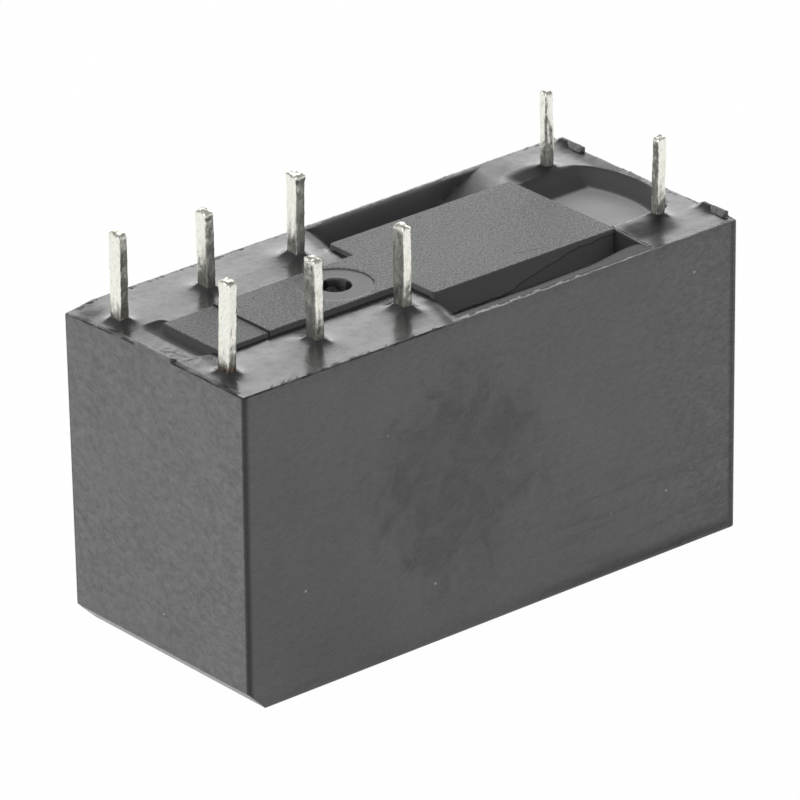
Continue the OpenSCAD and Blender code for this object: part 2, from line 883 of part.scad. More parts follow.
cover();
base();
sealing_resin();
vent_plug();
bobbin();
winding();
winding_tape();
core();
yoke();
armature();
armature_spring();
actuator_card();
at_side(1) coil_terminal();  // coil_terminal_1
at_side(-1) coil_terminal();  // coil_terminal_2
at_side(1) coil_lead();  // coil_lead_1
at_side(-1) coil_lead();  // coil_lead_2
at_side(1) fixed_terminal(no_x, no_blade_x, no_pin_len);  // no_terminal_1
at_side(-1) fixed_terminal(no_x, no_blade_x, no_pin_len);  // no_terminal_2
at_side(1) no_contact();  // no_contact_1
at_side(-1) no_contact();  // no_contact_2
at_side(1) com_terminal();  // com_terminal_1
at_side(-1) com_terminal();  // com_terminal_2
at_side(1) fixed_terminal(nc_x, nc_blade_x, nc_pin_len);  // nc_terminal_1
at_side(-1) fixed_terminal(nc_x, nc_blade_x, nc_pin_len);  // nc_terminal_2
at_side(1) nc_contact();  // nc_contact_1
at_side(-1) nc_contact();  // nc_contact_2
at_side(1) contact_spring();  // contact_spring_1
at_side(-1) contact_spring();  // contact_spring_2
at_side(1) moving_contact();  // moving_contact_1
at_side(-1) moving_contact();  // moving_contact_2
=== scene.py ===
"""Looks of a sealed two-pole power relay for circuit boards, lying on its closed face with its pins up."""

import json
import math
from functools import partial

import bmesh
import bpy
import numpy as np
from mathutils import Matrix, Vector, noise


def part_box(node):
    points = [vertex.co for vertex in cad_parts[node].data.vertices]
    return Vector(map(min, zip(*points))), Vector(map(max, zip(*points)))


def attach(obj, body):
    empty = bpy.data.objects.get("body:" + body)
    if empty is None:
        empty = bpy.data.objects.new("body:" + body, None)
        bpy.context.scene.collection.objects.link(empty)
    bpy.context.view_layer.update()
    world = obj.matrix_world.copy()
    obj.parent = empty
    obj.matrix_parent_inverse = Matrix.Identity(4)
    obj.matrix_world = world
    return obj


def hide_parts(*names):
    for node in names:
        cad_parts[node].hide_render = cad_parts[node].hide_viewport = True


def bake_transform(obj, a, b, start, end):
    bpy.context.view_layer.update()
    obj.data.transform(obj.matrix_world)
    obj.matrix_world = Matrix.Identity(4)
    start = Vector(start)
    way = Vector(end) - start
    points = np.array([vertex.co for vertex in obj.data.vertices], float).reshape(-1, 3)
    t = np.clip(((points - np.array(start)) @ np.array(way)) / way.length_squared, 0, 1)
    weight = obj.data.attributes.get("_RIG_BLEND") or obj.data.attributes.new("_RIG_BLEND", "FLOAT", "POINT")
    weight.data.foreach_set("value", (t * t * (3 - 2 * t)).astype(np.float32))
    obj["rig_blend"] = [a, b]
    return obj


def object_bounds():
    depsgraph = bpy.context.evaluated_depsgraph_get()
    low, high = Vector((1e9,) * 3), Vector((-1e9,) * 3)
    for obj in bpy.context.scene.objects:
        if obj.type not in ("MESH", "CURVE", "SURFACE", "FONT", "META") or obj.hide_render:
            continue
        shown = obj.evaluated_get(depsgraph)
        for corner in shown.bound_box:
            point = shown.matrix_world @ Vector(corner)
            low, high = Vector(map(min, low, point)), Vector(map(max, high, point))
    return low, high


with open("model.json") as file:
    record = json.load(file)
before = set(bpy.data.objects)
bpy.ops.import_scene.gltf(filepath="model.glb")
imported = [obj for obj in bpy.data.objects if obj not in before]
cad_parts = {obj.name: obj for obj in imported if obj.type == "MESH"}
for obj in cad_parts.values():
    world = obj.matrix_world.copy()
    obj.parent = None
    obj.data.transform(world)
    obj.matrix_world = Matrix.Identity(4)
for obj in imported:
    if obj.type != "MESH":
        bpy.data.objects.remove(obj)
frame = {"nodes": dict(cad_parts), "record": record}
cad_low, cad_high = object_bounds()

# Sizes in millimetres, the same as in the part's source
MM = 0.001
HALF_L, HALF_W, FACE_HALF_W, RIM_Z = 14.4, 6.3, 6.15, 15.4
WALL_T, RIM_T, ROOF_T = 0.75, 0.4, 0.8
CORNER_R, EDGE_R, END_CHAMFER = 0.12, 0.1, 1.0
CAVITY_X, CAVITY_Y = HALF_L - RIM_T, HALF_W - RIM_T
PLATE_Z, PLATEAU_Z = 14.3, 15.65
NECK_X0, NECK_HALF = -12.25, 1.97
STEP_X, STEP_DROP = -9.4, 0.08
WIDE_X0, WIDE_X1, WIDE_HALF, WIDE_R = -1.35, 9.4, 3.67, 0.15
RIB_X0, RIB_X1 = 9.33, 9.58
BASIN_Z, BASIN_X1, BASIN_HALF, BASIN_BOW_R = 14.66, 13.42, 2.68, 5.8
VENT_X, VENT_D, VENT_DEPTH = -4.0, 1.45, 1.0
DISC_D, DISC_DEPTH = 3.54, 0.05
PATCH_X, PATCH_Z, PATCH_HALF_X, PATCH_HALF_Z = -2.3, 7.9, 4.5, 5.0
SCRATCH_X, SCRATCH_Y, SCRATCH_HALF, SCRATCH_TURN = 4.98, -2.99, 0.92, -0.2225
SCRATCH_SHIFT = (-SCRATCH_X * math.cos(SCRATCH_TURN) - SCRATCH_Y * math.sin(SCRATCH_TURN),
                 SCRATCH_X * math.sin(SCRATCH_TURN) - SCRATCH_Y * math.cos(SCRATCH_TURN), 0.0)
ROW_Y = 3.75
PIN_T, PIN_W, COIL_PIN_T = 0.5, 0.8, 0.5
FILM_IN = 0.1
FOOT_L, FOOT_H, COIL_FOOT_L, COIL_FOOT_H, COIL_FOOT_IN = 2.5, 0.14, 1.55, 0.24, 0.6
COIL_FEET_Y = [side * (HALF_W - COIL_FOOT_IN - COIL_FOOT_L / 2) for side in (1, -1)]
# Each kind of pin: place along the relay, half sizes in plan, then for its two rows the tip's height
# and how far the foot and the tip stand off the true place
PINS = {
    "no_terminal": (-13.2, PIN_T / 2, PIN_W / 2, ((19.66, -0.06, -0.02), (19.77, 0.0, 0.15))),
    "com_terminal": (-8.2, PIN_T / 2, PIN_W / 2, ((19.34, -0.12, -0.16), (19.44, -0.03, -0.07))),
    "nc_terminal": (-3.2, PIN_T / 2, PIN_W / 2, ((19.6, 0.0, 0.06), (19.56, -0.03, 0.0))),
    "coil_terminal": (11.8, COIL_PIN_T / 2, COIL_PIN_T / 2, ((19.44, -0.09, -0.09), (19.46, 0.06, 0.16))),
}
ROWS = (("1", 1), ("2", -1))
# How high and how broad the resin is drawn up each kind of pin
DRAWN_UP = {"no_terminal": (0.12, 0.4), "com_terminal": (0.16, 0.5), "nc_terminal": (0.26, 0.5),
            "coil_terminal": (0.16, 0.5)}
# Length over which the resin rolls down into the pockets, and of the basin's side
LIP_LENGTH, BASIN_SIDE = 1.3, 0.62


# ---- materials

# The kinds of node that come up most
MATH, MIX, RANGE, NOISE = "ShaderNodeMath", "ShaderNodeMix", "ShaderNodeMapRange", "ShaderNodeTexNoise"
MAPPING, ATTRIBUTE = "ShaderNodeMapping", "ShaderNodeAttribute"


def linear(hex_colour):
    """A colour written as sRGB hex, as linear values."""
    channels = [int(hex_colour[i:i + 2], 16) / 255 for i in (1, 3, 5)]
    return [c / 12.92 if c <= 0.04045 else ((c + 0.055) / 1.055) ** 2.4 for c in channels] + [1.0]


def per_mm(size):
    """Texture scale for a pattern whose features are this many millimetres wide."""
    return 1000.0 / size


def connect(node, inputs):
    """Sets a node's inputs: each is a value, a socket, or a node whose first live output is linked."""
    for key, value in inputs.items():
        if isinstance(value, bpy.types.Node):
            value = next(socket for socket in value.outputs if socket.enabled)
        if isinstance(value, bpy.types.NodeSocket):
            node.id_data.links.new(value, node.inputs[key])
        else:
            node.inputs[key].default_value = value


def add_node(tree, kind, inputs=None, **settings):
    """Adds a node with its settings and inputs."""
    made = tree.nodes.new(kind)
    for key, value in settings.items():
        setattr(made, key, value)
    connect(made, inputs or {})
    return made


def new_material(name, **sockets):
    """A new material; returns it, what adds nodes to it, its Principled shader and object coordinates."""
    material = bpy.data.materials.new(name)
    material.use_nodes = True
    add = partial(add_node, material.node_tree)
    shader = material.node_tree.nodes["Principled BSDF"]
    connect(shader, sockets)
    return material, add, shader, add("ShaderNodeTexCoord").outputs["Object"]


def moulded_cover_plastic():
    # Black glass-filled polyester, injection moulded in a lightly blasted tool: satin, with flow marks,
    # scuffs and marks from rubbing that change its gloss more than its colour. Painted shade darkens the
    # upright corners and the bottom edge, and a painted highlight lightens the bare rim and the chamfer.
    material, add, shader, place = new_material("moulded_cover_plastic", IOR=1.55)
    at_x, at_y, at_z = add("ShaderNodeSeparateXYZ", {"Vector": place}).outputs
    blotch = add(NOISE, {"Vector": place, "Scale": per_mm(3.5), "Detail": 3.0})
    grain = add(NOISE, {"Vector": place, "Scale": per_mm(0.16), "Detail": 2.0})
    stretched = add(MAPPING, {"Vector": place, "Rotation": (0.6, 0.35, 0.0), "Scale": (0.8, 0.8, 1.2)})
    scuffs = add(NOISE, {
        "Vector": stretched, "Scale": per_mm(0.36), "Detail": 5.0, "Roughness": 0.68, "Distortion": 0.4})
    # Scuffs are strong on the contact end's face and towards the coil end, and weak between
    on_end = add(RANGE, {
        "Value": at_x, "From Min": -(HALF_L - 0.01) * MM, "From Max": -(HALF_L - 0.1) * MM, "To Min": 1.0,
        "To Max": 0.5})
    to_coil = add(RANGE, {"Value": at_x, "From Min": 3 * MM, "From Max": 13 * MM, "To Max": 0.95})
    scuffed = add(MATH, {0: on_end, 1: to_coil}, operation="MAXIMUM")
    tone = add(MIX, {"Factor": blotch, "A": linear("#555557"), "B": linear("#666668")}, data_type="RGBA")
    bright = add(RANGE, {"Value": scuffs, "From Min": 0.32, "From Max": 0.68, "To Min": -0.4, "To Max": 0.8})
    share = add(MATH, {0: bright, 1: scuffed}, operation="MULTIPLY")
    toned = add(MIX, {
        "Factor": share, "A": tone, "B": linear("#7c7c7e")}, data_type="RGBA", clamp_factor=False)
    # A dull oval patch of flaky stains where the long side was handled
    patch = add(MAPPING, {
        "Vector": place, "Location": (-PATCH_X / PATCH_HALF_X, 0.0, -PATCH_Z / PATCH_HALF_Z),
        "Scale": (per_mm(PATCH_HALF_X), 0.0, per_mm(PATCH_HALF_Z))})
    reach = add("ShaderNodeVectorMath", {0: patch}, operation="LENGTH")
    mottle = add(NOISE, {
        "Vector": place, "Scale": per_mm(1.3), "Detail": 5.0, "Roughness": 0.62, "Distortion": 0.8})
    flakes = add(RANGE, {"Value": mottle, "From Min": 0.36, "From Max": 0.6, "To Min": 1.0, "To Max": 0.4})
    wavering = add(MATH, {0: mottle, 1: 1.3, 2: reach}, operation="MULTIPLY_ADD")
    oval = add(RANGE, {"Value": wavering, "From Min": 1.85, "From Max": 1.35, "To Max": 0.8})
    stain = add(MATH, {0: oval, 1: flakes}, operation="MULTIPLY")
    front = add(MATH, {0: at_y, 1: -(FACE_HALF_W - 0.05) * MM}, operation="LESS_THAN")
    handled = add(MATH, {0: stain, 1: front}, operation="MULTIPLY")
    patched = add(MIX, {"Factor": handled, "A": toned, "B": linear("#424241")}, data_type="RGBA")
    # Flow lines along the box, low down towards the coil end
    drawn_out = add(MAPPING, {"Vector": place, "Scale": (0.13, 0.13, 1.0)})
    flow = add(NOISE, {"Vector": drawn_out, "Scale": per_mm(0.5), "Detail": 4.0, "Roughness": 0.6})
    streaks = add(RANGE, {"Value": flow, "From Min": 0.5, "From Max": 0.62, "To Max": 0.4})
    low_down = add(RANGE, {"Value": at_z, "From Min": 7.0 * MM, "From Max": 3.5 * MM})
    towards = add(RANGE, {"Value": at_x, "From Min": 1.5 * MM, "From Max": 5.0 * MM})
    flow_place = add(MATH, {0: low_down, 1: towards}, operation="MULTIPLY")
    flowed = add(MATH, {0: streaks, 1: flow_place}, operation="MULTIPLY")
    streaked = add(MIX, {"Factor": flowed, "A": patched, "B": linear("#444445")}, data_type="RGBA")
    # Painted shade beside the upright corners and painted shadow along the bottom edge; on the rim, the dark
    # of resin over it
    wear = add(ATTRIBUTE, attribute_name="edge_shade_and_film").outputs["Fac"]
    with_shade_and_film = add(MIX, {"Factor": wear, "A": streaked, "B": linear("#222224")}, data_type="RGBA")
    # Painted highlight on the bare rim, and painted reflection of the white floor on the chamfer
    light_share = add(ATTRIBUTE, attribute_name="painted_light").outputs["Fac"]
    painted_light = add(MIX, {"Factor": light_share, "A": with_shade_and_film, "B": linear("#b4b4b6")}, data_type="RGBA")
    # A few specks of dust
    dots = add("ShaderNodeTexVoronoi", {"Vector": place, "Scale": per_mm(2.0)})
    speck = add(MATH, {0: dots, 1: 0.035}, operation="LESS_THAN")
    dusty = add(MIX, {"Factor": speck, "A": painted_light, "B": linear("#b0b0b0")}, data_type="RGBA")
    shine = add(MATH, {0: wear, 1: -0.35, 2: 0.5}, operation="MULTIPLY_ADD")
    gloss = add(RANGE, {"Value": scuffs, "From Min": 0.3, "From Max": 0.7, "To Min": 0.32, "To Max": 0.54})
    relief = add(MATH, {0: scuffs, 1: 3.0, 2: grain}, operation="MULTIPLY_ADD")
    bump = add("ShaderNodeBump", {"Height": relief, "Strength": scuffed, "Distance": 0.04 * MM})
    connect(shader, {"Base Color": dusty, "Specular IOR Level": shine, "Roughness": gloss, "Normal": bump})
    return material


def spark_eroded_plastic():
    # The same polyester from a spark-eroded tool: an even, fine matt grain that glitters on the plateau's
    # top, except on the turned disc round the vent. Its sides are plainer, and on the front side a film of
    # resin has crept up towards the coil end. Steps and corners that get little light are darker.
    material, add, shader, place = new_material("spark_eroded_plastic", IOR=1.55)
    at_x, at_y, at_z = add("ShaderNodeSeparateXYZ", {"Vector": place}).outputs
    grain = add(NOISE, {"Vector": place, "Scale": per_mm(0.09), "Detail": 2.0, "Roughness": 0.75})
    centred = add(MAPPING, {
        "Vector": place, "Location": (-VENT_X, 0.0, 0.0), "Scale": (per_mm(1), per_mm(1), 0.0)})
    reach = add("ShaderNodeVectorMath", {0: centred}, operation="LENGTH")
    off_disc = add(RANGE, {
        "Value": reach, "From Min": DISC_D / 2 - 0.06, "From Max": DISC_D / 2 + 0.06, "To Min": 0.15,
        "To Max": 1.0})
    low_down = add(RANGE, {"Value": at_z, "From Min": 15.55 * MM, "From Max": 15.5 * MM})
    flank = add(ATTRIBUTE, attribute_name="flank").outputs["Fac"]
    side = add(MATH, {0: low_down, 1: flank}, operation="MAXIMUM")
    spread = add(RANGE, {"Value": grain, "From Min": 0.42, "From Max": 0.58})
    eroded = add(MIX, {"Factor": spread, "A": linear("#303032"), "B": linear("#727474")}, data_type="RGBA")
    top = add(MIX, {"Factor": off_disc, "A": linear("#565658"), "B": eroded}, data_type="RGBA")
    # The film's ragged edge climbs along X from the plate to near the plateau's top
    ragged = add(NOISE, {"Vector": place, "Scale": per_mm(1.2), "Detail": 4.0})
    climb = add(RANGE, {
        "Value": at_x, "From Min": 2.6 * MM, "From Max": 7.2 * MM, "To Min": 14.15 * MM,
        "To Max": 15.18 * MM})
    edge = add(MATH, {0: ragged, 1: 0.4 * MM, 2: climb}, operation="MULTIPLY_ADD")
    below = add(MATH, {0: at_z, 1: edge}, operation="LESS_THAN")
    front = add(MATH, {0: at_y, 1: -(WIDE_HALF - 0.04) * MM}, operation="LESS_THAN")
    wet = add(MATH, {0: below, 1: front}, operation="MULTIPLY")
    side_tone = add(MIX, {"Factor": wet, "A": linear("#565658"), "B": linear("#4c4c4e")}, data_type="RGBA")
    at_edge = add(MATH, {0: at_z, 1: edge, 2: 0.03 * MM}, operation="COMPARE")
    film_edge = add(MATH, {0: at_edge, 1: front}, operation="MULTIPLY")
    # A fine scratch on the plateau's top
    laid = add(MAPPING, {
        "Vector": place, "Location": SCRATCH_SHIFT, "Rotation": (0.0, 0.0, -SCRATCH_TURN),
        "Scale": (per_mm(1), per_mm(1), 0.0)})
    run_x, run_y, _ = add("ShaderNodeSeparateXYZ", {"Vector": laid}).outputs
    within = add(MATH, {0: run_x, 1: 0.0, 2: SCRATCH_HALF}, operation="COMPARE")
    on_line = add(MATH, {0: run_y, 1: 0.0, 2: 0.028}, operation="COMPARE")
    scratch = add(MATH, {0: within, 1: on_line}, operation="MULTIPLY")
    lines = add(MATH, {0: scratch, 1: film_edge}, operation="MAXIMUM")
    drawn = add(MATH, {0: lines, 1: 0.7}, operation="MULTIPLY")
    tone = add(MIX, {"Factor": side, "A": top, "B": side_tone}, data_type="RGBA")
    # Painted shade darkens the inside of the vent hole
    in_vent = add(MATH, {0: reach, 1: VENT_D / 2 + 0.04}, operation="LESS_THAN")
    shaded = add(MATH, {0: in_vent, 1: side}, operation="MULTIPLY")
    toned = add(MIX, {"Factor": shaded, "A": tone, "B": linear("#0c0c0e")}, data_type="RGBA")
    # Painted shade: a dark arc on the disc's far side, where its step is in shade
    in_ring = add(MATH, {0: reach, 1: DISC_D / 2 - 0.03, 2: 0.04}, operation="COMPARE")
    ahead = add("ShaderNodeVectorMath", {0: centred, 1: (0.9, 0.44, 0.0)}, operation="DOT_PRODUCT")
    far_side = add(RANGE, {"Value": ahead, "From Min": 0.3, "From Max": 1.1, "To Max": 0.85})
    arc = add(MATH, {0: in_ring, 1: far_side}, operation="MULTIPLY")
    shade = add(ATTRIBUTE, attribute_name="shade").outputs["Fac"]
    stepped = add(MATH, {0: shade, 1: arc}, operation="MAXIMUM")
    dark = add(MATH, {0: stepped, 1: drawn}, operation="MAXIMUM")
    darkened = add(MIX, {"Factor": dark, "A": toned, "B": linear("#262628")}, data_type="RGBA")
    shine = add(MATH, {0: dark, 1: -0.45, 2: 0.5}, operation="MULTIPLY_ADD")
    plain = add(MATH, {0: side, 1: -0.8, 2: 1.0}, operation="MULTIPLY_ADD")
    strength = add(MATH, {0: off_disc, 1: plain}, operation="MULTIPLY")
    bump = add("ShaderNodeBump", {"Height": grain, "Strength": strength, "Distance": 0.07 * MM})
    connect(shader, {"Base Color": darkened, "Specular IOR Level": shine, "Roughness": 0.5, "Normal": bump})
    return material


def casting_resin():
    # Black two-part epoxy, poured and cured: a glossy skin with a slight orange peel. A painted sheen makes
    # the basin's floor pale, and on steep sides and in hollows it is matt and painted paler, as painted
    # light.
    material, add, shader, place = new_material("casting_resin", IOR=1.55)
    # Painted sheen on the basin's floor and painted light on steep sides and hollows, as a paler tone
    pale = add(ATTRIBUTE, attribute_name="pale").outputs["Fac"]
    tone = add(MIX, {"Factor": pale, "A": linear("#29292b"), "B": linear("#adadaf")}, data_type="RGBA")
    matt = add(ATTRIBUTE, attribute_name="matt").outputs["Fac"]
    shine = add(MATH, {0: matt, 1: -0.46, 2: 0.5}, operation="MULTIPLY_ADD")
    peel = add(NOISE, {"Vector": place, "Scale": per_mm(0.5), "Detail": 4.0})
    fine = add(NOISE, {"Vector": place, "Scale": per_mm(0.1), "Detail": 1.0})
    gloss = add(RANGE, {"Value": peel, "From Min": 0.3, "From Max": 0.7, "To Min": 0.18, "To Max": 0.3})
    dulled = add(MATH, {0: pale, 1: 0.36, 2: gloss}, operation="MULTIPLY_ADD")
    rough = add(MATH, {0: matt, 1: 0.3, 2: dulled}, operation="MULTIPLY_ADD")
    relief = add(MATH, {0: fine, 1: 0.35, 2: peel}, operation="MULTIPLY_ADD")
    bump = add("ShaderNodeBump", {"Height": relief, "Strength": 1.0, "Distance": 0.011 * MM})
    connect(shader, {"Base Color": tone, "Specular IOR Level": shine, "Roughness": rough, "Normal": bump})
    return material


def hot_tinned_copper():
    # Copper alloy strip dipped in tin solder: a pale yellowish grey, lumpy, with dull specks of flux.
    material, add, shader, place = new_material("hot_tinned_copper", Metallic=1.0)
    stretched = add(MAPPING, {"Vector": place, "Scale": (1.0, 1.0, 0.35)})
    lumps = add(NOISE, {"Vector": stretched, "Scale": per_mm(0.22), "Detail": 4.0})
    specks = add(NOISE, {"Vector": stretched, "Scale": per_mm(0.07), "Detail": 3.0})
    flux = add(RANGE, {"Value": specks, "From Min": 0.52, "From Max": 0.78})
    tone = add(MIX, {"Factor": flux, "A": linear("#f4f3ea"), "B": linear("#c6c3b5")}, data_type="RGBA")
    stain = add(ATTRIBUTE, attribute_name="flux").outputs["Fac"]
    patchy = add(RANGE, {"Value": lumps, "From Min": 0.4, "From Max": 0.6, "To Min": 0.25, "To Max": 1.0})
    brown = add(MATH, {0: stain, 1: patchy}, operation="MULTIPLY")
    stained = add(MIX, {"Factor": brown, "A": tone, "B": linear("#86603e")}, data_type="RGBA")
    dull_share = add(ATTRIBUTE, attribute_name="cut").outputs["Fac"]
    cut = add(MATH, {0: dull_share, 1: patchy}, operation="MULTIPLY")
    dulled = add(MIX, {"Factor": cut, "A": stained, "B": linear("#7d7a6e")}, data_type="RGBA")
    gloss = add(RANGE, {"Value": lumps, "From Min": 0.3, "From Max": 0.7, "To Min": 0.2, "To Max": 0.4})
    rough = add(MATH, {0: cut, 1: 0.15, 2: gloss}, operation="MULTIPLY_ADD")
    bump = add("ShaderNodeBump", {"Height": lumps, "Strength": 1.0, "Distance": 0.02 * MM})
    connect(shader, {"Base Color": dulled, "Roughness": rough, "Normal": bump})
    return material


def plain_finish(name, dark, light, size, roughness, depth, **sockets):
    """A finish seen only inside: two close tones in a fine pattern of this size, with a little relief."""
    material, add, shader, place = new_material(name, **sockets)
    pattern = add(NOISE, {"Vector": place, "Scale": per_mm(size), "Detail": 4.0})
    tone = add(MIX, {"Factor": pattern, "A": linear(dark), "B": linear(light)}, data_type="RGBA")
    gloss = add(RANGE, {
        "Value": pattern, "From Min": 0.3, "From Max": 0.7, "To Min": roughness - 0.06,
        "To Max": roughness + 0.06})
    bump = add("ShaderNodeBump", {"Height": pattern, "Strength": 1.0, "Distance": depth * MM})
    connect(shader, {"Base Color": tone, "Roughness": gloss, "Normal": bump})
    return material


# Finishes of the works inside, by the record's material slot
WORKS = {
    # Glass-filled nylon, moulded: ivory and satin
    "bobbin_plastic": plain_finish("moulded_ivory_nylon", "#c4baa0", "#d6cdb6", 0.6, 0.45, 0.006, IOR=1.53),
    # Polyester, moulded: pale and a little glossier
    "card_plastic": plain_finish("moulded_pale_polyester", "#d2c7aa", "#e2d9c0", 0.8, 0.4, 0.005, IOR=1.57),
    # Enamelled copper wire: red-brown under a clear varnish
    "copper": plain_finish("enamelled_copper", "#a2562c", "#bf7040", 0.3, 0.28, 0.003, Metallic=1.0),
    # Polyester tape: amber and glossy
    "tape": plain_finish("amber_polyester_tape", "#b58120", "#cd9a2e", 1.5, 0.25, 0.008, IOR=1.6),
    # Soft iron, nickel plated: a grey satin metal
    "iron": plain_finish("nickel_plated_iron", "#8f8e8c", "#aaa9a6", 0.25, 0.36, 0.004, Metallic=1.0),
    # Rolled spring bronze: yellow-brown with a fine rolled sheen
    "bronze": plain_finish("rolled_spring_bronze", "#a9783e", "#c0904f", 0.2, 0.3, 0.002, Metallic=1.0),
    # Silver contact alloy: bright with a slight tarnish
    "silver": plain_finish("silver_contact_alloy", "#cfccc6", "#e6e4df", 0.4, 0.24, 0.003, Metallic=1.0),
}

COVER_PLASTIC = moulded_cover_plastic()
BASE_PLASTIC = spark_eroded_plastic()
RESIN = casting_resin()
TINNED = hot_tinned_copper()


# ---- mesh tools

def smooth(start, end, value):
    """0 before start, 1 after end, with a soft run between."""
    t = np.clip((value - start) / (end - start), 0.0, 1.0)
    return t * t * (3.0 - 2.0 * t)


def waves(points, size, seed):
    """Soft noise about zero, with features of this many millimetres, at points in millimetres."""
    shift = Vector((seed * 17.3, seed * 5.1, seed * 9.7))
    return np.array([noise.noise(Vector(p) / size + shift) for p in points])


def cad_copy(node):
    """A merged copy of a CAD node's mesh, in millimetres."""
    mesh = bmesh.new()
    mesh.from_mesh(frame["nodes"][node].data)
    bmesh.ops.scale(mesh, vec=(1 / MM,) * 3, verts=mesh.verts)
    bmesh.ops.remove_doubles(mesh, verts=mesh.verts, dist=1e-4)
    return mesh


def cut_above(mesh, height):
    """Takes away what is above a height and closes the cut."""
    bmesh.ops.bisect_plane(
        mesh, geom=mesh.verts[:] + mesh.edges[:] + mesh.faces[:], dist=1e-5,
        plane_co=(0, 0, height), plane_no=(0, 0, 1), clear_outer=True)
    rim = [e for e in mesh.edges if e.is_boundary]
    bmesh.ops.triangle_fill(mesh, edges=rim, normal=(0, 0, 1), use_beauty=False)


def mesh_data(name, mesh, scale=1.0):
    """Mesh data made from a mesh, which is then freed."""
    bmesh.ops.scale(mesh, vec=(scale,) * 3, verts=mesh.verts)
    data = bpy.data.meshes.new(name)
    mesh.to_mesh(data)
    mesh.free()
    return data


def soften(data, crease):
    """Shades mesh data smooth, but for edges sharper than this many degrees."""
    data.polygons.foreach_set("use_smooth", [True] * len(data.polygons))
    data.set_sharp_from_angle(angle=math.radians(crease))


def add_object(name, data):
    """A new object in the scene."""
    made = bpy.data.objects.new(name, data)
    bpy.context.scene.collection.objects.link(made)
    return made


def finish_piece(name, mesh, material, node, crease):
    """Turns a mesh in millimetres into a piece on the housing that stands for a CAD node."""
    bmesh.ops.recalc_face_normals(mesh, faces=mesh.faces)
    data = mesh_data(name, mesh, MM)
    soften(data, crease)
    data.materials.append(material)
    piece = add_object(name, data)
    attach(piece, "housing")
    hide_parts(node)


def loft(mesh, rings):
    """Skins closed rings of equal length and closes both ends; returns the rows of vertices."""
    rows = [[mesh.verts.new(p) for p in ring] for ring in rings]
    for low, high in zip(rows, rows[1:]):
        count = len(low)
        for i in range(count):
            j = (i + 1) % count
            mesh.faces.new((low[i], low[j], high[j], high[i]))
    mesh.faces.new(rows[0][::-1])
    mesh.faces.new(rows[-1])
    return rows


def outline(half_x, half_y, radius, along, across, turn=6):
    """Points of a rounded rectangle, anticlockwise from its -Y side.

    Along and across are shares of its sides, from -1 to 1.
    """
    flat_x, flat_y = half_x - radius, half_y - radius
    sides = ([(s * flat_x, -half_y) for s in along], [(half_x, s * flat_y) for s in across],
             [(-s * flat_x, half_y) for s in along], [(-half_x, -s * flat_y) for s in across])
    points = []
    for quarter, (side, sx, sy) in enumerate(zip(sides, (1, 1, -1, -1), (-1, 1, 1, -1))):
        points += side
        for step in range(1, turn):
            a = (quarter - 1 + step / turn) * math.pi / 2
            points.append((sx * flat_x + radius * math.cos(a), sy * flat_y + radius * math.sin(a)))
    return points


def height_slab(xs, ys, heights, kept, floor, marks):
    """Closed solid between a flat floor and a field of heights over the kept cells of a grid.

    Marks are named fields of values that its top carries for its material.
    """
    mesh = bmesh.new()
    layers = {name: mesh.verts.layers.float.new(name) for name in marks}
    used = np.zeros(heights.shape, bool)
    for i, j in ((0, 0), (1, 0), (0, 1), (1, 1)):
        used[i:i + kept.shape[0], j:j + kept.shape[1]] |= kept
    verts = {}
    for i, j in np.argwhere(used):
        verts[i, j] = mesh.verts.new((xs[i], ys[j], heights[i, j]))
        for name, layer in layers.items():
            verts[i, j][layer] = marks[name][i, j]
    for i, j in np.argwhere(kept):
        mesh.faces.new((verts[i, j], verts[i + 1, j], verts[i + 1, j + 1], verts[i, j + 1]))
    rim = [e for e in mesh.edges if e.is_boundary]
    made = bmesh.ops.extrude_edge_only(mesh, edges=rim)["geom"]
    for v in made:
        if isinstance(v, bmesh.types.BMVert):
            v.co.z = floor
    low_rim = [e for e in made if isinstance(e, bmesh.types.BMEdge) and e.is_boundary]
    bmesh.ops.triangle_fill(mesh, edges=low_rim, normal=(0, 0, -1), use_beauty=False)
    # Extruded sides come in another order each run, so the faces are put in a fixed one
    in_order = sorted(mesh.faces, key=lambda face: tuple(face.calc_center_median()))
    for number, face in enumerate(in_order):
        face.index = number
    mesh.faces.sort()
    return mesh


def grid_lines(start, end, step, fine):
    """Grid positions from start to end, with closer lines over each (from, to, step) run."""
    lines = list(np.linspace(start, end, int(round((end - start) / step)) + 1))
    for low, high, close in fine:
        lines = [v for v in lines if not low - 0.4 * close < v < high + 0.4 * close]
        lines += list(np.linspace(low, high, int(round((high - low) / close)) + 1))
    return np.array(sorted(v for v in lines if start - 1e-9 <= v <= end + 1e-9))


def distance_to_box(x, y, x0, x1, y0, y1, radius=0.0):
    """Distance from a box in plan, below zero inside."""
    dx = np.abs(x - (x0 + x1) / 2) - (x1 - x0) / 2 + radius
    dy = np.abs(y - (y0 + y1) / 2) - (y1 - y0) / 2 + radius
    return np.hypot(np.maximum(dx, 0), np.maximum(dy, 0)) + np.minimum(np.maximum(dx, dy), 0) - radius


# ---- cover

def rim_lift(x, y):
    """How far the rim stands above its true height: more to the back and the coil end."""
    corner = smooth(-12.6, -14.4, x) * smooth(1.0, 7.5, y)
    return 0.02 + 0.045 * y / HALF_W + 0.1 * smooth(0.0, 13.5, x) - 0.22 * corner


def bare_rim(x):
    """1 where the pockets leave the rim bare, 0 towards the contact end, where resin covers it."""
    return float(smooth(-3.4, -1.6, x))


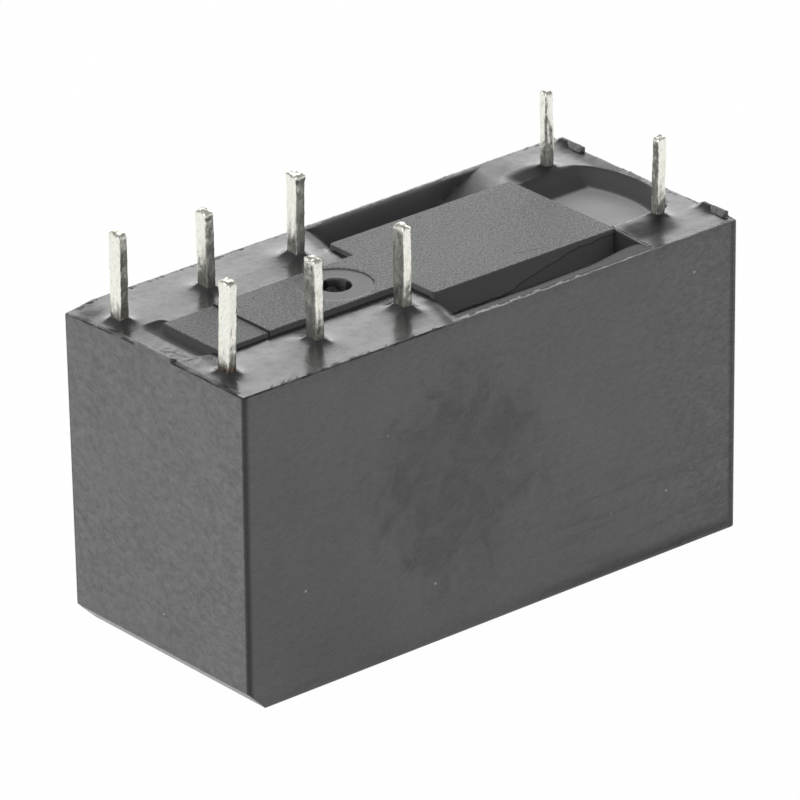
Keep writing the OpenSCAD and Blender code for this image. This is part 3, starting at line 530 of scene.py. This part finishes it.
def foot_block(mesh, end, y_middle, length, height):
    """Stand-off foot: a low ridge on an end wall's rim, sloping inside and flush with the end face."""
    inner, outer = end * (CAVITY_X + 0.02), end * (HALF_L - 0.005)
    ridge = outer - end * 0.13
    profile = [(inner, -0.2), (outer, -0.2), (outer, 0.85 * height), (ridge + end * 0.07, height),
               (ridge, height), (inner, 0.2 * height)]
    base_z = RIM_Z + rim_lift(end * HALF_L, y_middle)
    rings = []
    for share in (-1, -0.985, -0.94, -0.5, 0, 0.5, 0.94, 0.985, 1):
        most = height * (0.8 if abs(share) == 1 else 1.0)
        wear = 0.03 * noise.noise(Vector((end * 5, y_middle + share * 3, 1.7)))
        rings.append([(px, y_middle + share * length / 2, base_z + min(pz, most) + (wear if pz > 0 else 0))
                      for px, pz in profile])
    loft(mesh, rings)


def painted_edge_shade(p, off_x, off_y):
    """How much painted shade darkens the cover's outside beside its upright corners, and painted shadow along
    its bottom edge.
    """
    past = max(off_x, off_y) - CORNER_R
    if off_x < off_y:
        upright = 0.72 * smooth(0.06, -0.06, past)
    elif p.x < 0:
        upright = 0.72 * smooth(0.27, 0.0, past)
    else:
        upright = 0.52 * smooth(0.38, 0.15, past) * (0.15 + 0.85 * smooth(-0.02, 0.14, past))
    bottom = (0.1 + 0.45 * smooth(-2.0, 9.0, p.x)) * smooth(0.9, 0.3, p.z) * smooth(0.08, 0.24, p.z)
    return float(max(upright, bottom * (off_y < off_x)))


def on_chamfer(p, off_y):
    """Whether a point of the outside lies on the chamfer at the contact end, clear of its edges."""
    return 0.02 < p.z < END_CHAMFER - 0.1 and off_y > 0.05 and p.x < END_CHAMFER - HALF_L - p.z + 0.01


def moulded_cover():
    """The box: lofted from its closed face up the outside, over the rim and down the inside."""
    mesh = bmesh.new()

    def shares(count, half):
        ends = 1 - np.array([0.05, 0.11, 0.18, 0.27, 0.36]) / half
        return np.sort(np.concatenate([np.linspace(-1, 1, count), ends, -ends]))

    along, across = shares(221, HALF_L - CORNER_R), shares(97, HALF_W - CORNER_R)

    def leaning(z):
        return FACE_HALF_W + (HALF_W - FACE_HALF_W) * min(z / RIM_Z, 1.0)

    def ring(inset, z, radius, half_w=None):
        half_w = (half_w or leaning(z)) - inset
        points = outline(HALF_L - inset, half_w, max(radius, 0.02), along, across)
        return [Vector((x, y, z)) for x, y in points]

    rings = []
    for i in range(5):
        a = i / 4 * math.pi / 2
        rings.append(ring(EDGE_R * (1 - math.sin(a)), EDGE_R * (1 - math.cos(a)), CORNER_R))
    for z in (0.16, 0.24, 0.36, 0.52, 0.75, *np.linspace(END_CHAMFER, RIM_Z - 0.06, 26)):
        rings.append(ring(0.0, z, CORNER_R))
    outer_rows = len(rings)
    lip_row = outer_rows + 1
    rings.append(ring(0.02, RIM_Z - 0.018, CORNER_R))
    rings.append(ring(0.06, RIM_Z, CORNER_R - 0.05))
    rings.append(ring(0.16, RIM_Z, 0.06))
    rings.append(ring(RIM_T - 0.06, RIM_Z, 0.03))
    for z in (RIM_Z - 0.05, 14.9, PLATE_Z):
        rings.append(ring(RIM_T, z, 0.05, HALF_W))
    rim_rows = len(rings)
    for z in (PLATE_Z, 8.0, ROOF_T + 0.2):
        rings.append(ring(WALL_T, z, 0.05, FACE_HALF_W))
    rings.append(ring(WALL_T + 0.2, ROOF_T, 0.05, FACE_HALF_W))
    for row, points in enumerate(rings):
        for p in points:
            # The chamfer along the closed face's edge at the contact end
            if row < outer_rows and p.z < END_CHAMFER:
                p.x = max(p.x, -HALF_L + END_CHAMFER - p.z)
            if row < rim_rows:
                p.z += float(rim_lift(p.x, p.y) * smooth(PLATE_Z, RIM_Z, p.z))
            # Thin uneven flash along the rim
            if outer_rows - 1 <= row <= lip_row + 1:
                ragged = noise.noise(p * 1.6) * 0.6 + noise.noise(p * 5.3 + Vector((3, 1, 7))) * 0.8
                most = 0.03 + 0.03 * bare_rim(p.x) + 0.06 * float(smooth(13.8, 14.2, p.x))
                p.z += most * max(0.0, ragged) if row == lip_row else 0.02 * ragged
    # Layers for painted shade at the edges with the resin's dark on the rim, and for painted light on the rim
    # and the chamfer
    edge = mesh.verts.layers.float.new("edge_shade_and_film")
    light_share = mesh.verts.layers.float.new("painted_light")
    for row, points in enumerate(loft(mesh, rings)):
        for v in points:
            off_x, off_y = HALF_L - abs(v.co.x), leaning(v.co.z) - abs(v.co.y)
            if row < outer_rows:
                # Painted shade beside the upright corners and painted shadow along the bottom edge
                v[edge] = painted_edge_shade(v.co, off_x, off_y)
                # Painted reflection: the chamfer is painted light, as it mirrors the white floor
                if on_chamfer(v.co, off_y):
                    v[light_share] = 0.6
            elif row < rim_rows:
                # A painted highlight where the rim is bare, and dark where resin covers it
                bare = bare_rim(v.co.x)
                patchy = min(1.0, max(0.2, 0.5 + 1.2 * noise.noise(v.co * 1.1)))
                v[light_share] = (0.8 * patchy if row == lip_row else 0.08) * (0.1 + 0.9 * bare)
                resin = 0.35 if v.co.y > CAVITY_Y else 0.8
                v[edge] = (1 - bare) * min(1.0, max(0.0, resin + noise.noise(v.co * 2.3)))
    foot_block(mesh, -1, 0.0, FOOT_L, FOOT_H)
    for foot_y in COIL_FEET_Y:
        foot_block(mesh, 1, foot_y, COIL_FOOT_L, COIL_FOOT_H)
    finish_piece("moulded_cover", mesh, COVER_PLASTIC, "cover", crease=50.0)


# ---- base

def plateau_inside(x, y):
    """Depth inside the plateau's outline, below zero outside it."""
    neck = distance_to_box(x, y, NECK_X0, WIDE_X0 + 1.0, -NECK_HALF, NECK_HALF, 0.05)
    wide = distance_to_box(x, y, WIDE_X0, WIDE_X1, -WIDE_HALF, WIDE_HALF, WIDE_R)
    return -np.minimum(neck, wide)


def rib_height(y):
    """Top of the rib that ends the front pocket: from near the plateau's top down to the rim."""
    return RIM_Z + 0.06 + 0.15 * smooth(-CAVITY_Y, -WIDE_HALF, y)


def textured_base():
    """The plateau as a field of heights with softened edges, on the CAD plate and its inner walls."""
    edge, draft, margin = 0.05, 0.03, 0.3
    # Closer grid lines at the edges, the corners, the vent and the step
    inside, from_edge, to_middle = 0.09, 0.12, 0.44
    spacing, close, closest = 0.12, 0.04, 0.03
    x_fine = [(v - draft, v + inside, closest) for v in (NECK_X0, WIDE_X0)]
    x_fine += [(WIDE_X1 - inside, WIDE_X1 + draft, closest)]
    x_fine += [(VENT_X - 1.0, VENT_X + 1.0, close), (STEP_X - 0.06, STEP_X + 0.06, closest)]
    x_fine += [(WIDE_X0 + from_edge, WIDE_X0 + to_middle, close),
               (WIDE_X1 - to_middle, WIDE_X1 - from_edge, close)]
    y_fine = [(-0.92, 0.92, close)]
    for side in (1, -1):
        for half in (NECK_HALF, WIDE_HALF):
            y_fine.append((*sorted((side * (half - inside), side * (half + draft))), closest))
        y_fine.append((*sorted((side * (WIDE_HALF - to_middle), side * (WIDE_HALF - from_edge))), close))
    xs = grid_lines(NECK_X0 - margin, WIDE_X1 + margin, spacing, x_fine)
    ys = grid_lines(-WIDE_HALF - margin, WIDE_HALF + margin, spacing, y_fine)
    x, y = np.meshgrid(xs, ys, indexing="ij")
    depth = plateau_inside(x, y)
    rounding = edge - np.sqrt(np.maximum(edge ** 2 - np.maximum(edge - depth, 0) ** 2, 0))
    top = PLATEAU_Z - STEP_DROP * smooth(STEP_X + 0.04, STEP_X - 0.04, x)
    top -= np.where(depth < edge, rounding, 0)
    far = np.hypot(x - VENT_X, y)
    top -= DISC_DEPTH * smooth(DISC_D / 2 + 0.02, DISC_D / 2 - 0.05, far)
    top -= (VENT_DEPTH - DISC_DEPTH) * smooth(VENT_D / 2 + 0.03, VENT_D / 2 - 0.03, far)
    heights = np.where(depth >= -1e-6, top, PLATE_Z + 0.05)
    kept = np.ones((len(xs) - 1, len(ys) - 1), bool)
    # The neck's end and the step across it lie in shade
    shade = np.where((depth < 0.012) & (x < NECK_X0 + 0.06), 0.35, 0.0)
    shade = np.where(np.abs(x - STEP_X) < 0.035, 0.9, shade)
    flank = smooth(0.05, 0.015, depth) * np.where(x < WIDE_X0, 0.6, 1.0)
    mesh = height_slab(xs, ys, heights, kept, PLATE_Z - 0.1, {"shade": shade, "flank": flank})
    # The rib that ends the front pocket, with painted shade below its light top edge
    rings = []
    for py in (-WIDE_HALF + 0.2, -WIDE_HALF, -CAVITY_Y + 0.02):
        top_z = rib_height(py)
        profile = ((RIB_X0, PLATE_Z - 0.1), (RIB_X1, PLATE_Z - 0.1), (RIB_X1, top_z), (RIB_X0 + 0.02, top_z),
                   (RIB_X0, top_z - 0.02))
        rings.append([(px, py, pz) for px, pz in profile])
    rows = loft(mesh, rings)
    layer = mesh.verts.layers.float["shade"]
    for row in rows:
        row[0][layer] = row[4][layer] = 0.4
    plate = cad_copy("base")
    cut_above(plate, PLATE_Z - 0.02)
    plate_data = mesh_data("plate", plate)
    mesh.from_mesh(plate_data)
    bpy.data.meshes.remove(plate_data)
    finish_piece("textured_base", mesh, BASE_PLASTIC, "base", crease=40.0)


# ---- resin

def pin_places():
    """Each pin's node, middle and half sizes in plan, tip height, and lean at its foot and tip."""
    for kind, (x, half_x, half_y, rows) in PINS.items():
        for (name, side), (tip, foot_lean, tip_lean) in zip(ROWS, rows):
            yield kind + "_" + name, x, side * ROW_Y, half_x, half_y, tip, foot_lean, tip_lean


def past_lips(x, across):
    """How far a place is past the slanting lips of the front and the back pocket, along the relay."""
    return x + 1.6 + 0.3 * (across - 3.6), x + 1.65 - 0.3 * (across - 3.9)


def pocket_share(x, y):
    """1 inside the two long pockets beside the wide part of the plateau, 0 outside them."""
    across = np.abs(y)
    front, back = [np.clip(past / LIP_LENGTH, 0, 1) for past in past_lips(x, across)]
    front = front ** 1.6 * smooth(RIB_X0 + 0.14, RIB_X0 + 0.09, x)
    # The back pocket runs out slantwise towards the coil end
    back = back ** 1.8 * smooth(4.9, 1.2, x - 0.8 * across)
    return np.where(y < 0, front, back) * (across > WIDE_HALF - 0.3)


def basin_reach(x, y):
    """Distance outside the flat floor of the basin between the coil pins, which has a bowed end.

    At the back the side is less steep, so distance counts for less there.
    """
    out_x = x - (BASIN_X1 - y ** 2 / (2 * BASIN_BOW_R))
    out_y = np.where(y < 0, -y - BASIN_HALF, 0.6 * (y - BASIN_HALF + 0.41))
    return np.hypot(np.maximum(out_x, 0), np.maximum(out_y, 0))


def resin_surface(x, y):
    """Height of the poured resin, how pale it is painted and how matt: level with the rim, but for its
    hollows.
    """
    across = np.abs(y)
    level = RIM_Z + rim_lift(x, y)
    # A little lower beside the neck, with a hollow at its end
    z = level - 0.04 * smooth(4.2, 2.3, across) * (x < WIDE_X0)
    z -= 0.07 * smooth(-12.9, -14.2, x) * smooth(6.0, 4.6, across)
    hollow = smooth(0.22, -0.12, distance_to_box(x, y, -13.05, NECK_X0 + 0.3, -1.4, 2.4, 0.2))
    z -= 0.24 * hollow * np.clip((x + 13.1) / 0.7, 0, 1)
    # The basin: a flat floor and steep sides with round tops
    reach = basin_reach(x, y)
    at_coil = x > RIB_X0
    up_wall = np.clip(reach / BASIN_SIDE, 0, 1)
    climb = np.where(at_coil, 1 - (1 - up_wall ** 2 / (0.8 * up_wall + 0.2)) ** 1.5, 1.0)
    beside_rib = (rib_height(y) + 0.01 - level) * smooth(12.4, 9.8, x) * smooth(-2.2, -3.0, y)
    z = np.where(at_coil, BASIN_Z + (level + beside_rib - BASIN_Z) * climb, z)
    # The pockets, where it hangs on the cover's wall
    pocket = pocket_share(x, y)
    z = z * (1 - pocket) + (PLATE_Z + 0.02) * pocket
    off_wall = np.maximum(CAVITY_Y - across, 0)
    # At the front it widens to a ledge beside the rib
    off_ledge = np.maximum(off_wall - 0.36 * smooth(6.0, 9.3, x) * (y < 0), 0)
    hung = level - 0.01 - np.where(y < 0, 0.55, 12.0) * off_ledge ** 2
    z = np.where(across > WIDE_HALF + 0.3, np.maximum(z, hung), z)
    # Drawn up the pins
    for node, px, py, half_x, half_y, _, lean, _ in pin_places():
        near = np.hypot(np.maximum(np.abs(x - px - lean) - half_x, 0), np.maximum(np.abs(y - py) - half_y, 0))
        high, broad = DRAWN_UP[node[:-2]]
        z = z + (high * np.exp(-near / broad) + 0.08 * np.exp(-near / 0.12)) * (1 - pocket) * climb
    # Drawn up the inner side of the coil end's feet
    for foot_y in COIL_FEET_Y:
        along = smooth(foot_y - 0.5, foot_y + 0.4, y) * smooth(foot_y + 1.2, foot_y + 0.75, y)
        z = z + 0.24 * np.exp(-np.abs(HALF_L - 0.15 - x) / 0.3) * along
    # A film over the rim, which stays bare along the pockets
    bare = level + 0.004 - 0.12 * (across > CAVITY_Y + 0.27)
    film = np.minimum(z, level + 0.01) * (1 - pocket) + bare * pocket
    z = np.where(across > CAVITY_Y + 0.02, film, z)
    # Painted sheen: the basin's flat floor is painted pale
    floor = np.where(at_coil, smooth(0.12, 0.0, reach), 0.0)
    side = np.where(at_coil, (1 - floor) * smooth(0.8, 0.35, reach) * smooth(-2.6, -1.4, y), 0.0)
    in_pocket = np.where(y < 0, smooth(0.0, 0.15, pocket), smooth(0.0, 0.75, pocket))
    # The back pocket's shallow end stays matt and dark further on
    behind = (y > WIDE_HALF - 0.3) * smooth(10.0, 9.0, x)
    run_out = smooth(7.3, 4.5, x - 0.6 * across) * smooth(-0.4, 0.6, x) * behind
    steep = np.maximum.reduce([side, hollow, in_pocket, run_out])
    # Steep sides, hollows and the pockets' walls are painted paler: painted light that lifts them out of
    # their shade
    fillet = 0.15 + 1.7 * smooth(0.55, 0.0, off_ledge) + 0.85 * smooth(0.5, 0.9, off_wall)
    shallow = smooth(1.2, 3.4, x - 0.8 * across)
    tinge = np.where(y < 0, fillet, np.where(at_coil, 1.0, 1.4 - 0.75 * shallow))
    pale = np.maximum(floor, np.maximum(0.18 * steep * tinge, 0.26 * hollow))
    # Matt patches between the rib and the front coil pin and beside the back coil pin
    patch = 0.85 * smooth(0.5, -0.3, distance_to_box(x, y, 9.5, 11.9, -5.2, -3.7, 0.5))
    corner = smooth(0.6, -0.2, distance_to_box(x, y, 9.8, 11.5, 2.8, 4.3, 0.5))
    # Matt too at the back of the coil end, and where the lips of the pockets roll over
    end = 0.5 * smooth(13.2, 13.7, x) * smooth(0.6, 1.6, y) * smooth(5.6, 4.8, y)
    back_rim = 0.3 * smooth(8.4, 9.4, x) * smooth(12.2, 9.6, x) * smooth(4.2, 4.8, y)
    past_front, past_back = past_lips(x, across)
    back_lip = 0.7 * smooth(0.7, 0.0, np.abs(past_back - 0.2)) * smooth(3.5, 3.9, y)
    front_lip = 0.75 * smooth(0.6, 0.0, np.abs(past_front + 0.1)) * smooth(-3.5, -3.9, y)
    matt = [steep, patch * at_coil, corner, end, back_rim, back_lip, front_lip]
    return z, pale, np.maximum.reduce(matt)


def poured_resin():
    """The resin between the plateau and the cover's rim, as a field of heights."""
    x_runs = [(v - 0.06, v + 0.06, 0.03) for v in (NECK_X0, WIDE_X0, WIDE_X1, -CAVITY_X, CAVITY_X)]
    x_runs += [(RIB_X0 + 0.08, RIB_X0 + 0.16, 0.03), (12.4, 13.8, 0.045)]
    y_runs = [(s * v - 0.06, s * v + 0.06, 0.03) for s in (1, -1) for v in (NECK_HALF, WIDE_HALF, CAVITY_Y)]
    xs = grid_lines(-HALF_L + FILM_IN, HALF_L - FILM_IN, 0.07, x_runs)
    ys = grid_lines(-HALF_W + FILM_IN, HALF_W - FILM_IN, 0.07, y_runs)
    x, y = np.meshgrid(xs, ys, indexing="ij")
    heights, pale, matt = resin_surface(x, y)
    points = np.stack([x.ravel(), y.ravel(), np.zeros(x.size)], -1)
    inner = smooth(-0.3, -1.0, distance_to_box(x, y, -HALF_L, HALF_L, -HALF_W, HALF_W)) * (pale < 0.5)
    heights += 0.02 * inner * waves(points, 2.2, 1.0).reshape(x.shape)
    # Ripples behind the contact end's foot
    rippled = smooth(0.2, -0.4, distance_to_box(x, y, -14.0, -12.9, -2.0, 0.5, 0.3))
    heights += 0.014 * rippled * waves(points, 0.2, 2.0).reshape(x.shape)
    middle_x, middle_y = (x[1:, 1:] + x[:-1, :-1]) / 2, (y[1:, 1:] + y[:-1, :-1]) / 2
    kept = plateau_inside(middle_x, middle_y) < 0.03
    mesh = height_slab(xs, ys, heights, kept, PLATE_Z, {"pale": pale, "matt": matt})
    finish_piece("poured_resin", mesh, RESIN, "sealing_resin", crease=60.0)


def vent_plug():
    """A drop of resin that has sunk into the vent and set lumpy, on the CAD plug's stem."""
    stem_z = 14.7
    mesh = cad_copy("vent_plug")
    cut_above(mesh, stem_z)
    rings = []
    radius = VENT_D / 2 - 0.02
    for share, z in ((1.0, 14.66), (1.0, 15.2), (0.92, 15.18), (0.78, 15.1), (0.6, 15.16), (0.42, 15.06),
                     (0.25, 15.14), (0.1, 15.16)):
        ring = []
        for i in range(40):
            a = i / 40 * 2 * math.pi
            p = Vector((VENT_X + share * radius * math.cos(a), share * radius * math.sin(a), z))
            if z > stem_z:
                p.z += 0.16 * noise.noise(p * 2.6) + 0.07 * noise.noise(p * 7.0)
            ring.append(p)
        rings.append(ring)
    loft(mesh, rings)
    finish_piece("vent_drop", mesh, RESIN, "vent_plug", crease=60.0)


# ---- pins

def solder_pin(node, x, y, half_x, half_y, tip, foot_lean, tip_lean, seed):
    """A tinned pin: lumpy solder over the stamped strip, domed at its cut end, on the CAD strip below."""
    start, dome = 14.9, 0.2
    mesh = cad_copy(node)
    cut_above(mesh, start)
    side = np.linspace(-1, 1, 8)
    steps = [(z, 1.0) for z in np.linspace(start - 0.05, tip - dome, 46)]
    steps += [(tip - dome * (1 - math.sin(a)), 0.45 + 0.55 * math.cos(a))
              for a in (0.35, 0.7, 1.0, 1.25, 1.5)]
    rings = []
    for z, slim in steps:
        middle = x + foot_lean + (tip_lean - foot_lean) * smooth(start, tip, z)
        end = smooth(tip - 0.5, tip - 0.1, z)
        ring = []
        for px, py in outline(half_x * slim, half_y * slim, 0.09 * slim, side, side, turn=4):
            p = Vector((middle + px, y + py, z))
            out = Vector((px, py, 0)).normalized()
            lumps = noise.noise(Vector((p.x * 3, p.y * 3, p.z * 1.3)) + Vector((seed, 0, 0)))
            lumps += 0.5 * noise.noise(p * 6 + Vector((0, seed, 0)))
            burr = noise.noise(p * 4.5 + Vector((0, 0, seed)))
            capped = 0.07 * end if node == "nc_terminal_1" else 0.0
            p += out * (0.03 * (lumps - 0.35) + 0.025 * end * burr + capped)
            p.z = min(p.z + 0.09 * end * noise.noise(p * 3.5 + Vector((seed, seed, 0))), cad_high.z / MM)
            ring.append(p)
        rings.append(ring)
    # Flux has stained one pin's foot brown; the others are a little browner, and darker and duller towards
    # their feet
    most = 1.0 if node == "no_terminal_2" else 0.25
    stain = mesh.verts.layers.float.new("flux")
    cut = mesh.verts.layers.float.new("cut")
    for row, (z, slim) in zip(loft(mesh, rings), steps):
        for v in row:
            v[stain] = most * smooth(15.95, 15.65, v.co.z)
            v[cut] = max(0.75 * smooth(0.99, 0.8, slim), (0.9 - 0.7 * most) * smooth(16.6, 15.6, v.co.z))
    finish_piece("pin_" + node, mesh, TINNED, node, crease=45.0)


# ---- works inside

def winding_tree():
    """Geometry Nodes: one layer of wire wound along X on a bed, from named sizes."""
    tree = bpy.data.node_groups.new("wound_wire", "GeometryNodeTree")
    add = partial(add_node, tree)
    sizes = {"Start": 0.0, "Length": 1.0, "Bed radius": 1.0, "Wire": 0.1, "Axis height": 0.0, "Turns": 10.0}
    for name, value in sizes.items():
        tree.interface.new_socket(name, in_out="INPUT", socket_type="NodeSocketFloat").default_value = value
    tree.interface.new_socket("Finish", in_out="INPUT", socket_type="NodeSocketMaterial")
    tree.interface.new_socket("Geometry", in_out="OUTPUT", socket_type="NodeSocketGeometry")
    given = add("NodeGroupInput").outputs
    half_wire = add(MATH, {0: given["Wire"], 1: 0.5}, operation="MULTIPLY")
    middle = add(MATH, {0: given["Bed radius"], 1: half_wire}, operation="ADD")
    travel = add(MATH, {0: given["Length"], 1: given["Wire"]}, operation="SUBTRACT")
    path = add("GeometryNodeCurveSpiral", {
        "Resolution": 48, "Rotations": given["Turns"], "Start Radius": middle, "End Radius": middle,
        "Height": travel})
    section = add("GeometryNodeCurvePrimitiveCircle", {"Resolution": 6, "Radius": half_wire})
    wire = add("GeometryNodeCurveToMesh", {"Curve": path, "Profile Curve": section, "Fill Caps": True})
    wire_start = add(MATH, {0: given["Start"], 1: half_wire}, operation="ADD")
    wire_place = add("ShaderNodeCombineXYZ", {"X": wire_start, "Z": given["Axis height"]})
    laid = add("GeometryNodeTransform", {
        "Geometry": wire, "Translation": wire_place, "Rotation": (0.0, math.pi / 2, 0.0)})
    bed = add("GeometryNodeMeshCylinder", {
        "Vertices": 64, "Radius": given["Bed radius"], "Depth": given["Length"]})
    half_length = add(MATH, {0: given["Length"], 1: 0.5, 2: given["Start"]}, operation="MULTIPLY_ADD")
    bed_place = add("ShaderNodeCombineXYZ", {"X": half_length, "Z": given["Axis height"]})
    bedded = add("GeometryNodeTransform", {
        "Geometry": bed, "Translation": bed_place, "Rotation": (0.0, math.pi / 2, 0.0)})
    both = add("GeometryNodeJoinGeometry")
    for part in (laid, bedded):
        connect(both, {"Geometry": part})
    real = add("GeometryNodeRealizeInstances", {"Geometry": both})
    made = add("GeometryNodeSetMaterial", {"Geometry": real, "Material": given["Finish"]})
    add("NodeGroupOutput", {"Geometry": made})
    return tree


def wound_winding():
    """The winding: turns of enamelled wire over the layers below."""
    low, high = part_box("winding")
    wire = 0.13 * MM
    length = high.x - low.x
    sizes = {"Start": low.x, "Length": length, "Bed radius": (high.z - low.z) / 2 - wire,
             "Wire": wire, "Axis height": (high.z + low.z) / 2, "Turns": math.floor(length / wire) - 1,
             "Finish": WORKS["copper"]}
    host = add_object("winding_host", bpy.data.meshes.new("winding_host"))
    modifier = host.modifiers.new("wound_wire", "NODES")
    modifier.node_group = winding_tree()
    for item in modifier.node_group.interface.items_tree:
        if item.in_out == "INPUT":
            modifier[item.identifier] = sizes[item.name]
    seen = host.evaluated_get(bpy.context.evaluated_depsgraph_get())
    data = bpy.data.meshes.new_from_object(seen)
    host.modifiers.remove(modifier)
    bpy.data.objects.remove(host)
    soften(data, 50.0)
    piece = add_object("wound_winding", data)
    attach(piece, "housing")
    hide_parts("winding")


def bending_leaf(number):
    """A contact spring that bends from its riveted root, with rows of points along it to bend at."""
    node = "contact_spring_" + number
    mesh = cad_copy(node)
    lowest, highest, rows = 1.6, 12.4, 28
    for z in np.linspace(lowest, highest, rows):
        bmesh.ops.bisect_plane(mesh, geom=mesh.verts[:] + mesh.edges[:] + mesh.faces[:], dist=1e-5,
                               plane_co=(0, 0, z), plane_no=(0, 0, 1))
    data = mesh_data("bending_leaf_" + number, mesh, MM)
    data.materials.append(WORKS["bronze"])
    piece = add_object("bending_leaf_" + number, data)
    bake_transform(piece, "housing", "contact_" + number,
             start=(-8.59 * MM, 0, 12.6 * MM), end=(-8.59 * MM, 0, 7.0 * MM))
    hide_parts(node)


def dress_works():
    """Gives each CAD node that stays in view its finish."""
    for part in frame["record"]["subparts"]:
        finish = WORKS.get(part["material_slot"])
        if finish:
            data = frame["nodes"][part["node"]].data
            data.materials.clear()
            data.materials.append(finish)


# ---- studio

def softbox(name, direction, distance, width, height, radiance):
    """A flat soft lamp facing the relay, its face this many times as bright as white paper."""
    lamp = bpy.data.lights.new(name, "AREA")
    lamp.shape, lamp.size, lamp.size_y = "RECTANGLE", width, height
    lamp.energy = radiance * math.pi * width * height
    made = add_object(name, lamp)
    made.visible_camera = False
    made.location = Vector(direction).normalized() * distance
    made.rotation_mode = "QUATERNION"
    relay_middle = Vector((0.0, 0.0, 0.008))
    made.rotation_quaternion = (made.location - relay_middle).to_track_quat("Z", "Y")


def studio():
    """White sweep: it shows white to the camera, keeps the shadow, and reflects as lit paper."""
    world = bpy.data.worlds.new("studio")
    bpy.context.scene.world = world
    world.use_nodes = True
    world.node_tree.nodes.clear()
    add = partial(add_node, world.node_tree)
    rays = add("ShaderNodeLightPath")
    white = add("ShaderNodeBackground", {"Color": (1, 1, 1, 1), "Strength": 1.0})
    fill = add("ShaderNodeBackground", {"Color": (1, 1, 1, 1), "Strength": 0.45})
    both = add("ShaderNodeMixShader", {0: rays.outputs["Is Camera Ray"], 1: fill, 2: white})
    add("ShaderNodeOutputWorld", {"Surface": both})

    paper = bpy.data.materials.new("white_paper")
    paper.use_nodes = True
    paper.node_tree.nodes.clear()
    add = partial(add_node, paper.node_tree)
    rays = add("ShaderNodeLightPath")
    matt = add("ShaderNodeBsdfDiffuse", {"Color": linear("#f2f2f2")})
    glow = add("ShaderNodeEmission", {"Color": (1, 1, 1, 1), "Strength": 1.0})
    seen = add(MATH, {
        0: rays.outputs["Is Camera Ray"], 1: rays.outputs["Is Glossy Ray"]}, operation="MAXIMUM")
    share = add(MATH, {0: seen, 1: 0.985}, operation="MULTIPLY")
    both = add("ShaderNodeMixShader", {0: share, 1: matt, 2: glow})
    add("ShaderNodeOutputMaterial", {"Surface": both})
    mesh = bmesh.new()
    bmesh.ops.create_grid(mesh, x_segments=1, y_segments=1, size=2.0)
    data = mesh_data("floor", mesh)
    data.materials.append(paper)
    floor = add_object("floor", data)
    just_below = -0.02 * MM
    floor.location.z = just_below

    softbox("back_softbox", (0.578, 0.700, 0.33), distance=0.7, width=1.2, height=0.42, radiance=2.5)
    softbox("left_softbox", (-0.9, 0.1, 0.45), distance=0.6, width=0.5, height=0.4, radiance=2.2)


def camera():
    """The photograph's viewpoint, found by fitting the box's corners and the pins."""
    turn, rise, roll = math.radians(-39.5715), math.radians(24.772), math.radians(-0.9537)
    distance, focal_pixels = 356.158, 7848.47
    target = Vector((0.8047, 1.4339, 8.0))
    back = Vector((math.sin(turn) * math.cos(rise), -math.cos(turn) * math.cos(rise), math.sin(rise)))
    right = Vector((math.cos(turn), math.sin(turn), 0))
    up = back.cross(right)
    right, up = right * math.cos(roll) + up * math.sin(roll), up * math.cos(roll) - right * math.sin(roll)
    data = bpy.data.cameras.new("camera")
    picture_pixels = 800
    data.sensor_width = 36.0
    data.lens = focal_pixels / picture_pixels * data.sensor_width
    data.clip_start, data.clip_end = 0.01, 20.0
    made = add_object("camera", data)
    made.matrix_world = Matrix.Translation((target + back * distance) * MM) @ Matrix(
        (right, up, back)).transposed().to_4x4()
    bpy.context.scene.camera = made


bpy.context.scene.view_settings.view_transform = "Standard"
camera()
studio()
moulded_cover()
textured_base()
poured_resin()
vent_plug()
for number, place in enumerate(pin_places()):
    solder_pin(*place, seed=number * 3.7)
dress_works()
wound_winding()
for number, _ in ROWS:
    bending_leaf(number)
